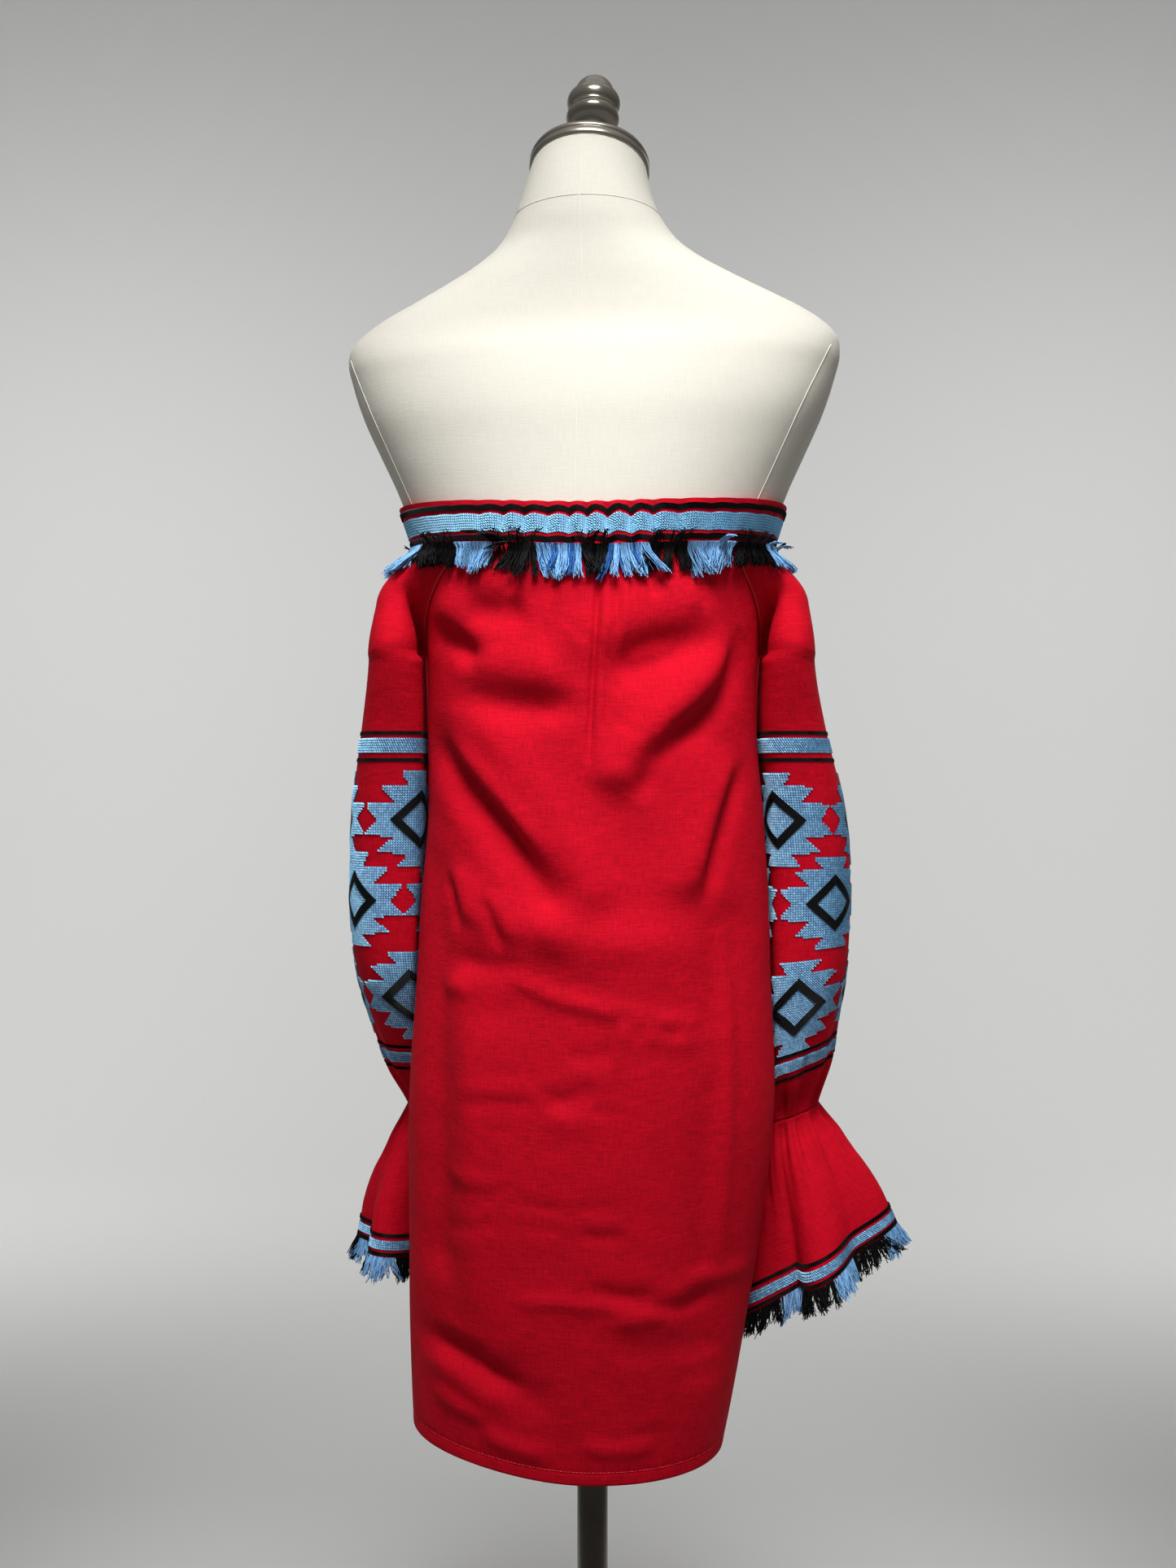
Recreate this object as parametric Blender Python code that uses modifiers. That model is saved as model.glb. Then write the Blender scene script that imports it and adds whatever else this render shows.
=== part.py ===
"""An off-shoulder linen dress with embroidered sleeves, worn by a limbless dress form on a stand.

Metres, +Z up. The origin is the centre of the stand's foot, on the floor. The back of the dress
faces -Y, and the form stands turned a little inside it. An angle round the dress is measured in
degrees from the middle of its back, towards +X. Left is the dress's own left, at -X.
"""

import math
import random
from collections import namedtuple

import bmesh
import bpy
import numpy as np

# Stand
FOOT_RADIUS = 0.165
FOOT_EDGE = 0.010
FOOT_CROWN = 0.018
HUB_RADIUS = 0.028
HUB_TOP = 0.034
POLE_RADIUS = 0.0125
COLLAR_RADIUS = 0.036
COLLAR_HEIGHT = 0.012

# Dress form
FORM_TURN = -8.0
NECK_TILT = 23.0
NECK_CENTRE_Y = 0.030
NECK_TOP = 1.569
NECK_SHIFT = -0.007
NECK_SHIFT_FROM = 1.450
NECK_RADIUS = 0.0485
CAP_RADIUS = 0.0503
CAP_HEIGHT = 0.014

# Gaps between pieces
SEAM_GAP = 0.0003
PANEL_GAP = 0.0006
CUFF_GAP = 0.0009
BAND_OFF_FORM = 0.0009
CLOTH_OFF_FORM = 0.0040
SLEEVE_OFF_DRESS = 0.0022
PRESS_SOFTNESS = 0.005

# Cloth
CLOTH = 0.0015
BAND_WALL = 0.0024
CORD_RISE = 0.0013
CORD_HALF = 0.0026
CORD_INSET = 0.0065
PUCKER_RISE = 0.0010
PUCKERS = 20

# Neckline band, underarm and hem heights
BAND_TOP = 1.2755
BAND_HEIGHT = 0.034
BAND_SIDE_RISE = 0.008
UNDERARM = 1.165
HEM = 0.526
HEM_RISE_LEFT = 0.020
HEM_RISE_RIGHT = 0.004
HEM_RISE_FRONT = 0.012
RAGLAN_TOP_ANGLE = 52.0
SIDE_SEAM_ANGLE = 90.0

# Sleeves and cuffs
WRIST = 0.782
CUFF_HEM = 0.654
CAP_BULGE = 0.034
CAP_FULL_AT = 0.50
LOOP_STARTS_AT = 0.14
SLEEVE_POWER = 2.8
SQUARES_FROM = 0.80
SQUARES_OVER = 0.12
SEAM_PULL_LENGTH = 0.08
SEAM_SHARPNESS = 3
GATHERS = 12
GATHER_RISE = 0.0022
GATHER_REACH = 0.018
FLUTES = 5
FLUTE_RISE = 0.0105
FLUTE_PHASE = {-1: 236.0, 1: 128.0}

# Fringe
STRIP_HEIGHT = 0.004
STRIP_WALL = 0.0015
NECK_LOCKS = 56
CUFF_LOCKS = 24
NECK_LOCK_DROP_BACK = 0.021
NECK_LOCK_DROP_SIDE = 0.012
CUFF_LOCK_LENGTH = 0.017
LOCK_SHARE = 0.72

# Mesh fineness
FORM_COLUMNS = 24
TURNED_STEPS = 24
BACK_COLUMNS = 24
BACK_ROWS = 20
FRONT_COLUMNS = 18
FRONT_ROWS = 14
SLEEVE_COLUMNS = 24
CUFF_ROWS = 5
BAND_COLUMNS = 60

# The form's level sections. power shapes an oval, 2 for an ellipse and more for a squarer one.
FormRing = namedtuple("FormRing", "height half_width half_depth centre_y power tilt")
FORM = [
    FormRing(0.800, 0.126, 0.094, 0.000, 2.1, 0),
    FormRing(0.806, 0.135, 0.102, 0.000, 2.1, 0),
    FormRing(0.825, 0.140, 0.107, 0.000, 2.1, 0),
    FormRing(0.860, 0.141, 0.107, 0.000, 2.1, 0),
    FormRing(0.900, 0.137, 0.102, 0.000, 2.1, 0),
    FormRing(0.960, 0.125, 0.092, 0.000, 2.1, 0),
    FormRing(1.030, 0.113, 0.083, 0.000, 2.1, 0),
    FormRing(1.100, 0.117, 0.089, 0.002, 2.1, 0),
    FormRing(1.160, 0.125, 0.103, 0.005, 2.1, 0),
    FormRing(1.200, 0.131, 0.110, 0.009, 2.2, 0),
    FormRing(1.240, 0.1400, 0.1075, 0.007, 2.3, 0),
    FormRing(1.2585, 0.1450, 0.1050, 0.004, 2.3, 0),
    FormRing(1.277, 0.1510, 0.1020, 0.002, 2.4, 0),
    FormRing(1.298, 0.1590, 0.0980, 0.000, 2.5, 0),
    FormRing(1.326, 0.1720, 0.0930, -0.002, 2.6, 0),
    FormRing(1.358, 0.1865, 0.0870, -0.004, 2.7, 0),
    FormRing(1.386, 0.1960, 0.0790, -0.005, 2.7, 0),
    FormRing(1.404, 0.2003, 0.0715, -0.006, 2.7, 0),
    FormRing(1.417, 0.1985, 0.0655, -0.006, 2.6, 0),
    FormRing(1.427, 0.1900, 0.0620, -0.006, 2.5, 0),
    FormRing(1.439, 0.1735, 0.0590, -0.006, 2.4, 0),
    FormRing(1.453, 0.1480, 0.0570, -0.005, 2.3, 0),
    FormRing(1.468, 0.1205, 0.0552, -0.004, 2.2, 0),
    FormRing(1.483, 0.0955, 0.0540, -0.002, 2.1, 0),
    FormRing(1.498, 0.0765, 0.0530, 0.000, 2.0, 1),
    FormRing(1.514, 0.0645, 0.0525, 0.002, 2.0, 4),
    FormRing(1.532, 0.0570, 0.0520, 0.008, 2.0, 10),
    FormRing(1.551, 0.0522, 0.0510, 0.018, 2.0, 17),
    FormRing(NECK_TOP, NECK_RADIUS, NECK_RADIUS, NECK_CENTRE_Y, 2.0, NECK_TILT),
]

# How the body of the dress hangs: its reach to each side of the pole at each height.
HangRing = namedtuple("HangRing", "height left right back front power")
HANG = [
    HangRing(0.500, 0.1435, 0.1000, 0.101, 0.094, 2.3),
    HangRing(0.569, 0.1467, 0.1140, 0.105, 0.098, 2.3),
    HangRing(0.636, 0.1487, 0.1260, 0.109, 0.102, 2.3),
    HangRing(0.702, 0.1490, 0.1370, 0.112, 0.106, 2.3),
    HangRing(0.809, 0.1490, 0.1480, 0.115, 0.112, 2.3),
    HangRing(0.900, 0.1430, 0.1450, 0.112, 0.115, 2.25),
    HangRing(0.969, 0.1390, 0.1430, 0.109, 0.117, 2.2),
    HangRing(1.036, 0.1335, 0.1390, 0.107, 0.119, 2.2),
    HangRing(1.102, 0.1340, 0.1335, 0.107, 0.122, 2.2),
    HangRing(1.165, 0.1345, 0.1345, 0.107, 0.124, 2.2),
    HangRing(1.200, 0.1370, 0.1370, 0.1065, 0.124, 2.2),
    HangRing(1.250, 0.1430, 0.1430, 0.105, 0.117, 2.2),
]

# The level sections of each sleeve and its cuff. tilt lifts the outer side of a section.
SleeveRing = namedtuple("SleeveRing", "height centre_x centre_y half_width half_depth tilt")
SLEEVES = {
    -1: [
        SleeveRing(0.630, -0.151, 0.109, 0.053, 0.050, 0.10),
        SleeveRing(0.660, -0.149, 0.107, 0.051, 0.048, 0.10),
        SleeveRing(0.690, -0.148, 0.106, 0.050, 0.046, 0.08),
        SleeveRing(0.720, -0.143, 0.104, 0.047, 0.042, 0.06),
        SleeveRing(0.750, -0.138, 0.101, 0.037, 0.035, 0.04),
        SleeveRing(0.782, -0.136, 0.099, 0.025, 0.027, 0.02),
        SleeveRing(0.815, -0.142, 0.094, 0.034, 0.045, 0.00),
        SleeveRing(0.860, -0.152, 0.083, 0.038, 0.060, 0.00),
        SleeveRing(0.900, -0.160, 0.073, 0.039, 0.069, 0.00),
        SleeveRing(0.950, -0.164, 0.065, 0.0395, 0.072, 0.00),
        SleeveRing(1.000, -0.163, 0.058, 0.0395, 0.073, 0.00),
        SleeveRing(1.050, -0.161, 0.049, 0.0380, 0.073, 0.00),
        SleeveRing(1.100, -0.158, 0.037, 0.0335, 0.074, 0.00),
        SleeveRing(1.165, -0.156, 0.014, 0.0265, 0.079, 0.00),
        SleeveRing(1.215, -0.151, 0.004, 0.0320, 0.084, 0.00),
    ],
    1: [
        SleeveRing(0.630, 0.189, 0.050, 0.062, 0.062, 0.62),
        SleeveRing(0.660, 0.186, 0.050, 0.059, 0.058, 0.56),
        SleeveRing(0.690, 0.182, 0.051, 0.056, 0.052, 0.50),
        SleeveRing(0.720, 0.176, 0.053, 0.050, 0.045, 0.44),
        SleeveRing(0.750, 0.169, 0.055, 0.040, 0.037, 0.38),
        SleeveRing(0.782, 0.165, 0.056, 0.027, 0.028, 0.34),
        SleeveRing(0.815, 0.166, 0.056, 0.036, 0.046, 0.38),
        SleeveRing(0.860, 0.169, 0.056, 0.039, 0.061, 0.28),
        SleeveRing(0.900, 0.173, 0.056, 0.040, 0.069, 0.16),
        SleeveRing(0.950, 0.1755, 0.055, 0.040, 0.072, 0.06),
        SleeveRing(1.000, 0.1745, 0.052, 0.040, 0.073, 0.00),
        SleeveRing(1.050, 0.169, 0.046, 0.0385, 0.073, 0.00),
        SleeveRing(1.100, 0.160, 0.036, 0.0340, 0.074, 0.00),
        SleeveRing(1.165, 0.155, 0.014, 0.0260, 0.079, 0.00),
        SleeveRing(1.215, 0.151, 0.004, 0.0320, 0.084, 0.00),
    ],
}
CAP_SHARES = (0.0, 0.06, 0.14, 0.26, 0.42, 0.60, 0.80, 1.0)
TUBE_HEIGHTS = (1.135, 1.100, 1.060, 1.020, 0.980, 0.940, 0.900, 0.865, 0.838, 0.812, 0.797)

# The largest folds of the back, each along a line from its top to its foot. rise is outwards.
Fold = namedtuple("Fold", "top_x top_height foot_x foot_height half_width rise")
BACK_FOLDS = [
    Fold(-0.001, 1.245, -0.004, 1.080, 0.0060, -0.0035),
    Fold(0.009, 1.245, 0.008, 1.110, 0.0060, 0.0035),
    Fold(0.018, 1.245, 0.016, 1.130, 0.0060, -0.0030),
    Fold(-0.122, 1.110, -0.030, 0.995, 0.0140, -0.0065),
    Fold(-0.100, 1.070, -0.005, 0.950, 0.0180, 0.0045),
    Fold(0.120, 1.120, 0.060, 0.990, 0.0150, -0.0060),
    Fold(0.100, 1.170, 0.030, 1.060, 0.0180, 0.0045),
    Fold(-0.060, 1.200, -0.110, 1.150, 0.0140, -0.0040),
    Fold(0.105, 0.950, 0.085, 0.620, 0.0200, -0.0040),
    Fold(-0.135, 0.630, -0.050, 0.595, 0.0120, -0.0040),
]
FRONT_FOLDS = [
    Fold(-0.045, 1.230, -0.050, 0.560, 0.0180, -0.0060),
    Fold(0.000, 1.230, 0.002, 0.620, 0.0200, 0.0050),
    Fold(0.045, 1.230, 0.055, 0.560, 0.0180, -0.0060),
]
FOLD_END = 0.030

# Turned outlines, from the axis out, down the outer side and back to the axis.
FINIAL_OUTLINE = [
    (0.0000, 0.0890),
    (0.0080, 0.0872),
    (0.0145, 0.0815),
    (0.0180, 0.0735),
    (0.0190, 0.0690),
    (0.0212, 0.0680),
    (0.0233, 0.0631),
    (0.0224, 0.0575),
    (0.0200, 0.0528),
    (0.0212, 0.0500),
    (0.0232, 0.0459),
    (0.0215, 0.0400),
    (0.0150, 0.0330),
    (0.0128, 0.0230),
    (0.0160, 0.0130),
    (0.0235, 0.0070),
    (0.0240, 0.0000),
    (0.0000, 0.0000),
]

MATERIALS = {
    "linen": ((0.52, 0.006, 0.018), 0.85, 0.0),
    "band_blue": ((0.20, 0.43, 0.70), 0.6, 0.0),
    "fringe_yarn": ((0.05, 0.09, 0.16), 0.6, 0.0),
    "form_canvas": ((0.72, 0.67, 0.58), 0.9, 0.0),
    "stand_metal": ((0.30, 0.27, 0.20), 0.25, 1.0),
}


class SmoothTable:
    """A smooth curve through the rows of a table, read by height."""

    def __init__(self, rows):
        self.row = type(rows[0])
        self.heights = [row.height for row in rows]
        self.values = np.array(rows, float)
        self.slopes = np.gradient(self.values, self.heights, axis=0)

    def at(self, height):
        """The row at this height. Past either end it goes on in a straight line."""
        last = len(self.heights) - 1
        below = min(max(int(np.searchsorted(self.heights, height)) - 1, 0), last - 1)
        if height <= self.heights[0]:
            return self.row(*(self.values[0] + self.slopes[0] * (height - self.heights[0])))
        if height >= self.heights[last]:
            return self.row(*(self.values[last] + self.slopes[last] * (height - self.heights[last])))
        span = self.heights[below + 1] - self.heights[below]
        s = (height - self.heights[below]) / span
        value = (
            self.values[below] * (2 * s**3 - 3 * s**2 + 1)
            + self.values[below + 1] * (3 * s**2 - 2 * s**3)
            + self.slopes[below] * span * (s**3 - 2 * s**2 + s)
            + self.slopes[below + 1] * span * (s**3 - s**2)
        )
        return self.row(*value)


FORM_TABLE = SmoothTable(FORM)
HANG_TABLE = SmoothTable(HANG)
SLEEVE_TABLES = {side: SmoothTable(rows) for side, rows in SLEEVES.items()}


def smooth_step(share):
    """0 to 1 with level ends, for a share from 0 to 1."""
    share = min(max(share, 0.0), 1.0)
    return share * share * (3 - 2 * share)


def oval_radius(along_x, along_y, half_width, half_depth, power):
    """Where a ray of this direction leaves an oval."""
    return (abs(along_x / half_width) ** power + abs(along_y / half_depth) ** power) ** (-1 / power)


def polar(angle, radius, height):
    """A point at this angle round the dress."""
    turn = math.radians(angle)
    return (radius * math.sin(turn), -radius * math.cos(turn), height)


def angle_of(x, y):
    return math.degrees(math.atan2(x, -y))


def form_radius(angle, height):
    """How far the form reaches at this angle, 0 below it."""
    if height < FORM[0].height:
        return 0.0
    ring = FORM_TABLE.at(height)
    turn = math.radians(angle - FORM_TURN)
    along_x, along_y = math.sin(turn), -math.cos(turn)
    inside, outside = 0.0, 0.3
    for _ in range(30):
        middle = (inside + outside) / 2
        x, y = middle * along_x, middle * along_y - ring.centre_y
        if oval_radius(x, y, ring.half_width, ring.half_depth, ring.power) > 1:
            inside = middle
        else:
            outside = middle
    return inside


def fold_rise(x, height, folds):
    """The outward rise of all folds at a point of a panel."""
    total = 0.0
    for fold in folds:
        along = np.array([fold.foot_x - fold.top_x, fold.foot_height - fold.top_height])
        length = float(np.hypot(*along))
        offset = np.array([x - fold.top_x, height - fold.top_height])
        run = float(offset @ along) / length
        aside = float(offset[0] * along[1] - offset[1] * along[0]) / length
        ends = smooth_step(run / FOLD_END + 1) * smooth_step((length - run) / FOLD_END + 1)
        total += fold.rise * ends * math.exp(-((aside / fold.half_width) ** 2))
    return total


def dress_radius(angle, height):
    """The outer face of the dress's body, which hangs free or lies over the form."""
    ring = HANG_TABLE.at(height)
    turn = math.radians(angle)
    along_x, along_y = math.sin(turn), -math.cos(turn)
    half_width = ring.right if along_x > 0 else ring.left
    half_depth = ring.back if along_y < 0 else ring.front
    hanging = oval_radius(along_x, along_y, half_width, half_depth, ring.power)
    folds = BACK_FOLDS if along_y < 0 else FRONT_FOLDS
    hanging += fold_rise(hanging * along_x, height, folds) * smooth_step(2.4 * abs(along_y) - 0.4)
    covering = form_radius(angle, height) + CLOTH_OFF_FORM
    middle, half = (hanging + covering) / 2, (hanging - covering) / 2
    return middle + math.sqrt(half**2 + 0.0005**2)


def band_top(angle):
    return BAND_TOP + BAND_SIDE_RISE * math.sin(math.radians(angle)) ** 2


def band_foot(angle):
    return band_top(angle) - BAND_HEIGHT


def cloth_top(angle):
    return band_foot(angle) - SEAM_GAP


def hem_height(angle):
    turn = math.radians(angle)
    side_rise = HEM_RISE_RIGHT if math.sin(turn) > 0 else HEM_RISE_LEFT
    return HEM + side_rise * math.sin(turn) ** 2 + HEM_RISE_FRONT * max(0.0, -math.cos(turn))


def raglan_angle(share):
    """The angle of the raglan seam, from the band (share 0) to the underarm (share 1)."""
    return RAGLAN_TOP_ANGLE + (SIDE_SEAM_ANGLE - RAGLAN_TOP_ANGLE) * share


def panel_point(facing, across, share_down):
    """A point of the back (facing 0) or front (facing 180) panel. across runs from -1 to 1."""
    nominal = cloth_top(facing) + share_down * (hem_height(facing) - cloth_top(facing))
    cap_share = (cloth_top(facing) - nominal) / (cloth_top(facing) - UNDERARM)
    edge = raglan_angle(min(cap_share, 1.0))
    edge -= math.degrees(PANEL_GAP / 2 / HANG_TABLE.at(nominal).left)
    angle = facing + across * edge
    height = cloth_top(angle) + share_down * (hem_height(angle) - cloth_top(angle))
    if cap_share <= 1.0:
        height = cloth_top(angle) + cap_share * (UNDERARM - cloth_top(angle))
    else:
        down = (nominal - UNDERARM) / (hem_height(facing) - UNDERARM)
        height = UNDERARM + down * (hem_height(angle) - UNDERARM)
    return polar(angle, dress_radius(angle, height), height)


def loop_point(side, across, height):
    """A point of a sleeve's closed section. across runs from -1 at the underarm seam, past the
    back, 0 at the outer side and the front, to 1 at the seam again."""
    ring = SLEEVE_TABLES[side].at(height)
    turn = math.pi * across
    along_x, along_y = math.cos(turn), math.sin(turn)
    power = 2 + (SLEEVE_POWER - 2) * smooth_step((height - SQUARES_FROM) / SQUARES_OVER)
    radius = oval_radius(along_x, along_y, ring.half_width, ring.half_depth, power)
    from_wrist = abs(height - WRIST) / GATHER_REACH
    radius += GATHER_RISE * from_wrist * math.exp(1 - from_wrist) * math.cos(GATHERS * turn)
    flare = max(0.0, (WRIST - height) / (WRIST - CUFF_HEM)) ** 1.3
    radius += FLUTE_RISE * flare * math.cos(FLUTES * (turn - math.radians(FLUTE_PHASE[side])))
    x = ring.centre_x + side * radius * along_x
    y = ring.centre_y + radius * along_y
    return x, y, height + ring.tilt * side * (x - ring.centre_x)


def off_dress(x, y, height, clearance):
    """The point moved out softly, where it would lie in the body of the dress."""
    angle = angle_of(x, y)
    least = dress_radius(angle, height) + clearance
    radius = math.hypot(x, y)
    middle, half = (radius + least) / 2, (radius - least) / 2
    return polar(angle, middle + math.sqrt(half**2 + PRESS_SOFTNESS**2), height)


def seam_point(side, height):
    """The line on the body of the dress under which the sleeve closes."""
    angle = side * SIDE_SEAM_ANGLE
    return polar(angle, dress_radius(angle, height) + SLEEVE_OFF_DRESS, height)


def cap_skin(angle, height):
    """The outer face of the dress near the band, with the sleeve caps over its sides."""
    from_back = abs((angle + 180) % 360 - 180)
    top = cloth_top(angle)
    share = min(max((top - height) / (top - UNDERARM), 0.0), 1.0)
    half_span = SIDE_SEAM_ANGLE - raglan_angle(share)
    across = (from_back - SIDE_SEAM_ANGLE) / max(half_span, 1.0)
    rise = math.sin(min(share / CAP_FULL_AT, 1.0) * math.pi / 2)
    return dress_radius(angle, height) + CAP_BULGE * rise * max(0.0, 1 - across**2)


def cap_point(side, across, share):
    """A point of a sleeve above the underarm. Its edges follow the raglan seams."""
    half_span = SIDE_SEAM_ANGLE - raglan_angle(share)
    edge_gap = math.degrees(SEAM_GAP / HANG_TABLE.at(UNDERARM).left)
    angle = side * (SIDE_SEAM_ANGLE + across * max(half_span - edge_gap, 0.0))
    top = cloth_top(angle)
    height = top + share * (UNDERARM - top)
    lift = SLEEVE_OFF_DRESS * smooth_step(share)
    edge_of_cap = dress_radius(angle, height) + lift
    rise = math.sin(min(share / CAP_FULL_AT, 1.0) * math.pi / 2)
    arc = np.array(polar(angle, edge_of_cap + CAP_BULGE * rise * (1 - across**2), height))
    x, y, _ = loop_point(side, across, height)
    loop = np.array(off_dress(x, y, height, SLEEVE_OFF_DRESS))
    off_seam = 1 - abs(across) ** SEAM_SHARPNESS
    weight = smooth_step((share - LOOP_STARTS_AT) / (1 - LOOP_STARTS_AT)) * off_seam
    return tuple(arc * (1 - weight) + loop * weight)


def tube_point(side, across, height):
    """A point of a sleeve or cuff below the underarm."""
    x, y, z = loop_point(side, across, height)
    pull = max(0.0, 1 - (UNDERARM - height) / SEAM_PULL_LENGTH) * abs(across) ** SEAM_SHARPNESS
    at_seam = np.array(seam_point(side, height))
    x, y, z = np.array([x, y, z]) * (1 - pull) + at_seam * pull
    return off_dress(x, y, z, SLEEVE_OFF_DRESS)


def material(name):
    """A material of this name, made once."""
    found = bpy.data.materials.get(name)
    if found:
        return found
    colour, roughness, metallic = MATERIALS[name]
    made = bpy.data.materials.new(name)
    made.use_nodes = True
    shader = made.node_tree.nodes["Principled BSDF"]
    shader.inputs["Base Color"].default_value = (*colour, 1.0)
    shader.inputs["Roughness"].default_value = roughness
    shader.inputs["Metallic"].default_value = metallic
    return made


def add_object(name, mesh, finish, parent=None):
    mesh.materials.append(material(finish))
    made = bpy.data.objects.new(name, mesh)
    bpy.data.collections["embroidered_dress"].objects.link(made)
    made.parent = parent
    return made


def loft(name, rows, closed, capped=False):
    """A mesh through rows of points, each row as long as the others."""
    mesh_maker = bmesh.new()
    grid = [[mesh_maker.verts.new(point) for point in row] for row in rows]
    count = len(rows[0])
    for upper, lower in zip(grid, grid[1:]):
        for i in range(count if closed else count - 1):
            j = (i + 1) % count
            mesh_maker.faces.new((upper[i], lower[i], lower[j], upper[j]))
    if capped:
        mesh_maker.faces.new(grid[0])
        mesh_maker.faces.new(reversed(grid[-1]))
    bmesh.ops.remove_doubles(mesh_maker, verts=mesh_maker.verts, dist=1e-6)
    mesh = bpy.data.meshes.new(name)
    mesh_maker.to_mesh(mesh)
    mesh_maker.free()
    mesh.shade_smooth()
    return mesh


def cloth_object(name, mesh, finish="linen"):
    """The cloth's outer face, with a wall of its thickness inside."""
    made = add_object(name, mesh, finish)
    wall = made.modifiers.new("wall", "SOLIDIFY")
    wall.thickness = CLOTH
    wall.offset = -1
    return made


def turned_object(name, outline, finish, parent=None):
    """A turned solid from its outline of (radius, height)."""
    mesh = bpy.data.meshes.new(name)
    points = [(radius, 0.0, height) for radius, height in outline]
    on_axis = outline[0][0] == 0
    edges = [(i, i + 1) for i in range(len(points) - 1)]
    if not on_axis:
        edges.append((len(points) - 1, 0))
    mesh.from_pydata(points, edges, [])
    made = add_object(name, mesh, finish, parent)
    turn = made.modifiers.new("turn", "SCREW")
    turn.axis = "Z"
    turn.steps = TURNED_STEPS
    turn.render_steps = TURNED_STEPS
    turn.use_merge_vertices = True
    turn.merge_threshold = 0.0001
    turn.use_smooth_shade = True
    return made


def add_empty(name, parent=None):
    made = bpy.data.objects.new(name, None)
    bpy.data.collections["embroidered_dress"].objects.link(made)
    made.parent = parent
    return made


def build_stand():
    """A round foot, a pole and the collar under the form."""
    foot = [
        (0.0, HUB_TOP),
        (HUB_RADIUS - 0.004, HUB_TOP),
        (HUB_RADIUS, HUB_TOP - 0.004),
        (HUB_RADIUS, FOOT_CROWN + 0.004),
        (HUB_RADIUS + 0.004, FOOT_CROWN),
        (FOOT_RADIUS - 0.012, FOOT_EDGE),
        (FOOT_RADIUS - 0.002, FOOT_EDGE - 0.002),
        (FOOT_RADIUS, FOOT_EDGE - 0.005),
        (FOOT_RADIUS, 0.0),
        (0.0, 0.0),
    ]
    turned_object("stand_foot", foot, "stand_metal")
    pole_top = FORM[0].height - SEAM_GAP
    pole_foot = HUB_TOP + SEAM_GAP
    turned_object(
        "stand_pole",
        [(0.0, pole_top), (POLE_RADIUS, pole_top), (POLE_RADIUS, pole_foot), (0.0, pole_foot)],
        "stand_metal",
    )
    bore = POLE_RADIUS + SEAM_GAP
    collar = [
        (bore, pole_top),
        (COLLAR_RADIUS, pole_top),
        (COLLAR_RADIUS, pole_top - 0.004),
        (bore + 0.006, pole_top - 0.006),
        (bore + 0.006, pole_top - COLLAR_HEIGHT),
        (bore, pole_top - COLLAR_HEIGHT),
    ]
    turned_object("pole_collar", collar, "stand_metal")


def form_ring(ring):
    """One section of the form, level or tilted about its own middle."""
    tilt = math.radians(ring.tilt)
    shift = NECK_SHIFT * smooth_step((ring.height - NECK_SHIFT_FROM) / (NECK_TOP - NECK_SHIFT_FROM))
    points = []
    for i in range(FORM_COLUMNS):
        turn = 2 * math.pi * i / FORM_COLUMNS
        along_x, along_y = math.cos(turn), math.sin(turn)
        radius = oval_radius(along_x, along_y, ring.half_width, ring.half_depth, ring.power)
        x, y = radius * along_x, radius * along_y
        y_tilted, z_tilted = y * math.cos(tilt), -y * math.sin(tilt)
        points.append((x + shift, ring.centre_y + y_tilted, ring.height + z_tilted))
    return points


def build_form():
    """The torso, and the cap and finial that stand square on its tilted neck."""
    form = add_empty("dress_form")
    form.rotation_euler = (0, 0, math.radians(FORM_TURN))
    torso = loft("form_torso", [form_ring(ring) for ring in reversed(FORM)], True, capped=True)
    add_object("form_torso", torso, "form_canvas", form)
    neck = add_empty("neck_plate", form)
    neck.location = (NECK_SHIFT, NECK_CENTRE_Y, NECK_TOP)
    neck.rotation_euler = (math.radians(-NECK_TILT), 0, 0)
    cap = [
        (0.0, CAP_HEIGHT),
        (CAP_RADIUS - 0.003, CAP_HEIGHT),
        (CAP_RADIUS, CAP_HEIGHT - 0.003),
        (CAP_RADIUS, SEAM_GAP + 0.002),
        (CAP_RADIUS - 0.0012, SEAM_GAP),
        (0.0, SEAM_GAP),
    ]
    turned_object("neck_cap", cap, "stand_metal", neck)
    finial_foot = CAP_HEIGHT + SEAM_GAP
    finial = [(radius, finial_foot + height) for radius, height in FINIAL_OUTLINE]
    turned_object("neck_finial", finial, "stand_metal", neck)


def panel_shares(rows):
    """Shares down a panel, closer together above the underarm, with one row at it."""
    underarm_share = (cloth_top(0) - UNDERARM) / (cloth_top(0) - hem_height(0))
    upper = max(3, round(rows * 0.25))
    above = [underarm_share * i / upper for i in range(upper)]
    below = [underarm_share + (1 - underarm_share) * i / (rows - upper) for i in range(rows - upper + 1)]
    return above + below


def build_panel(name, facing, columns, rows, crowding):
    """A body panel. crowding draws its columns towards its middle."""
    acrosses = []
    for i in range(columns + 1):
        even = 2 * i / columns - 1
        acrosses.append(even * (1 - crowding) + crowding * even**3)
    grid = [[panel_point(facing, across, share) for across in acrosses] for share in panel_shares(rows)]
    cloth_object(name, loft(name, grid, False))


def around(columns):
    """Positions across a sleeve from seam to seam, both ends included."""
    return [2 * i / columns - 1 for i in range(columns + 1)]


def build_sleeve(name, side):
    """A raglan sleeve: an open cap above the underarm and a tube below it, down to the wrist."""
    acrosses = around(SLEEVE_COLUMNS)
    grid = [[cap_point(side, across, share) for across in acrosses] for share in CAP_SHARES]
    for height in (*TUBE_HEIGHTS, WRIST + PANEL_GAP):
        grid.append([tube_point(side, across, height) for across in acrosses])
    if side < 0:
        grid = [list(reversed(row)) for row in grid]
    cloth_object(name, loft(name, grid, False))


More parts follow.
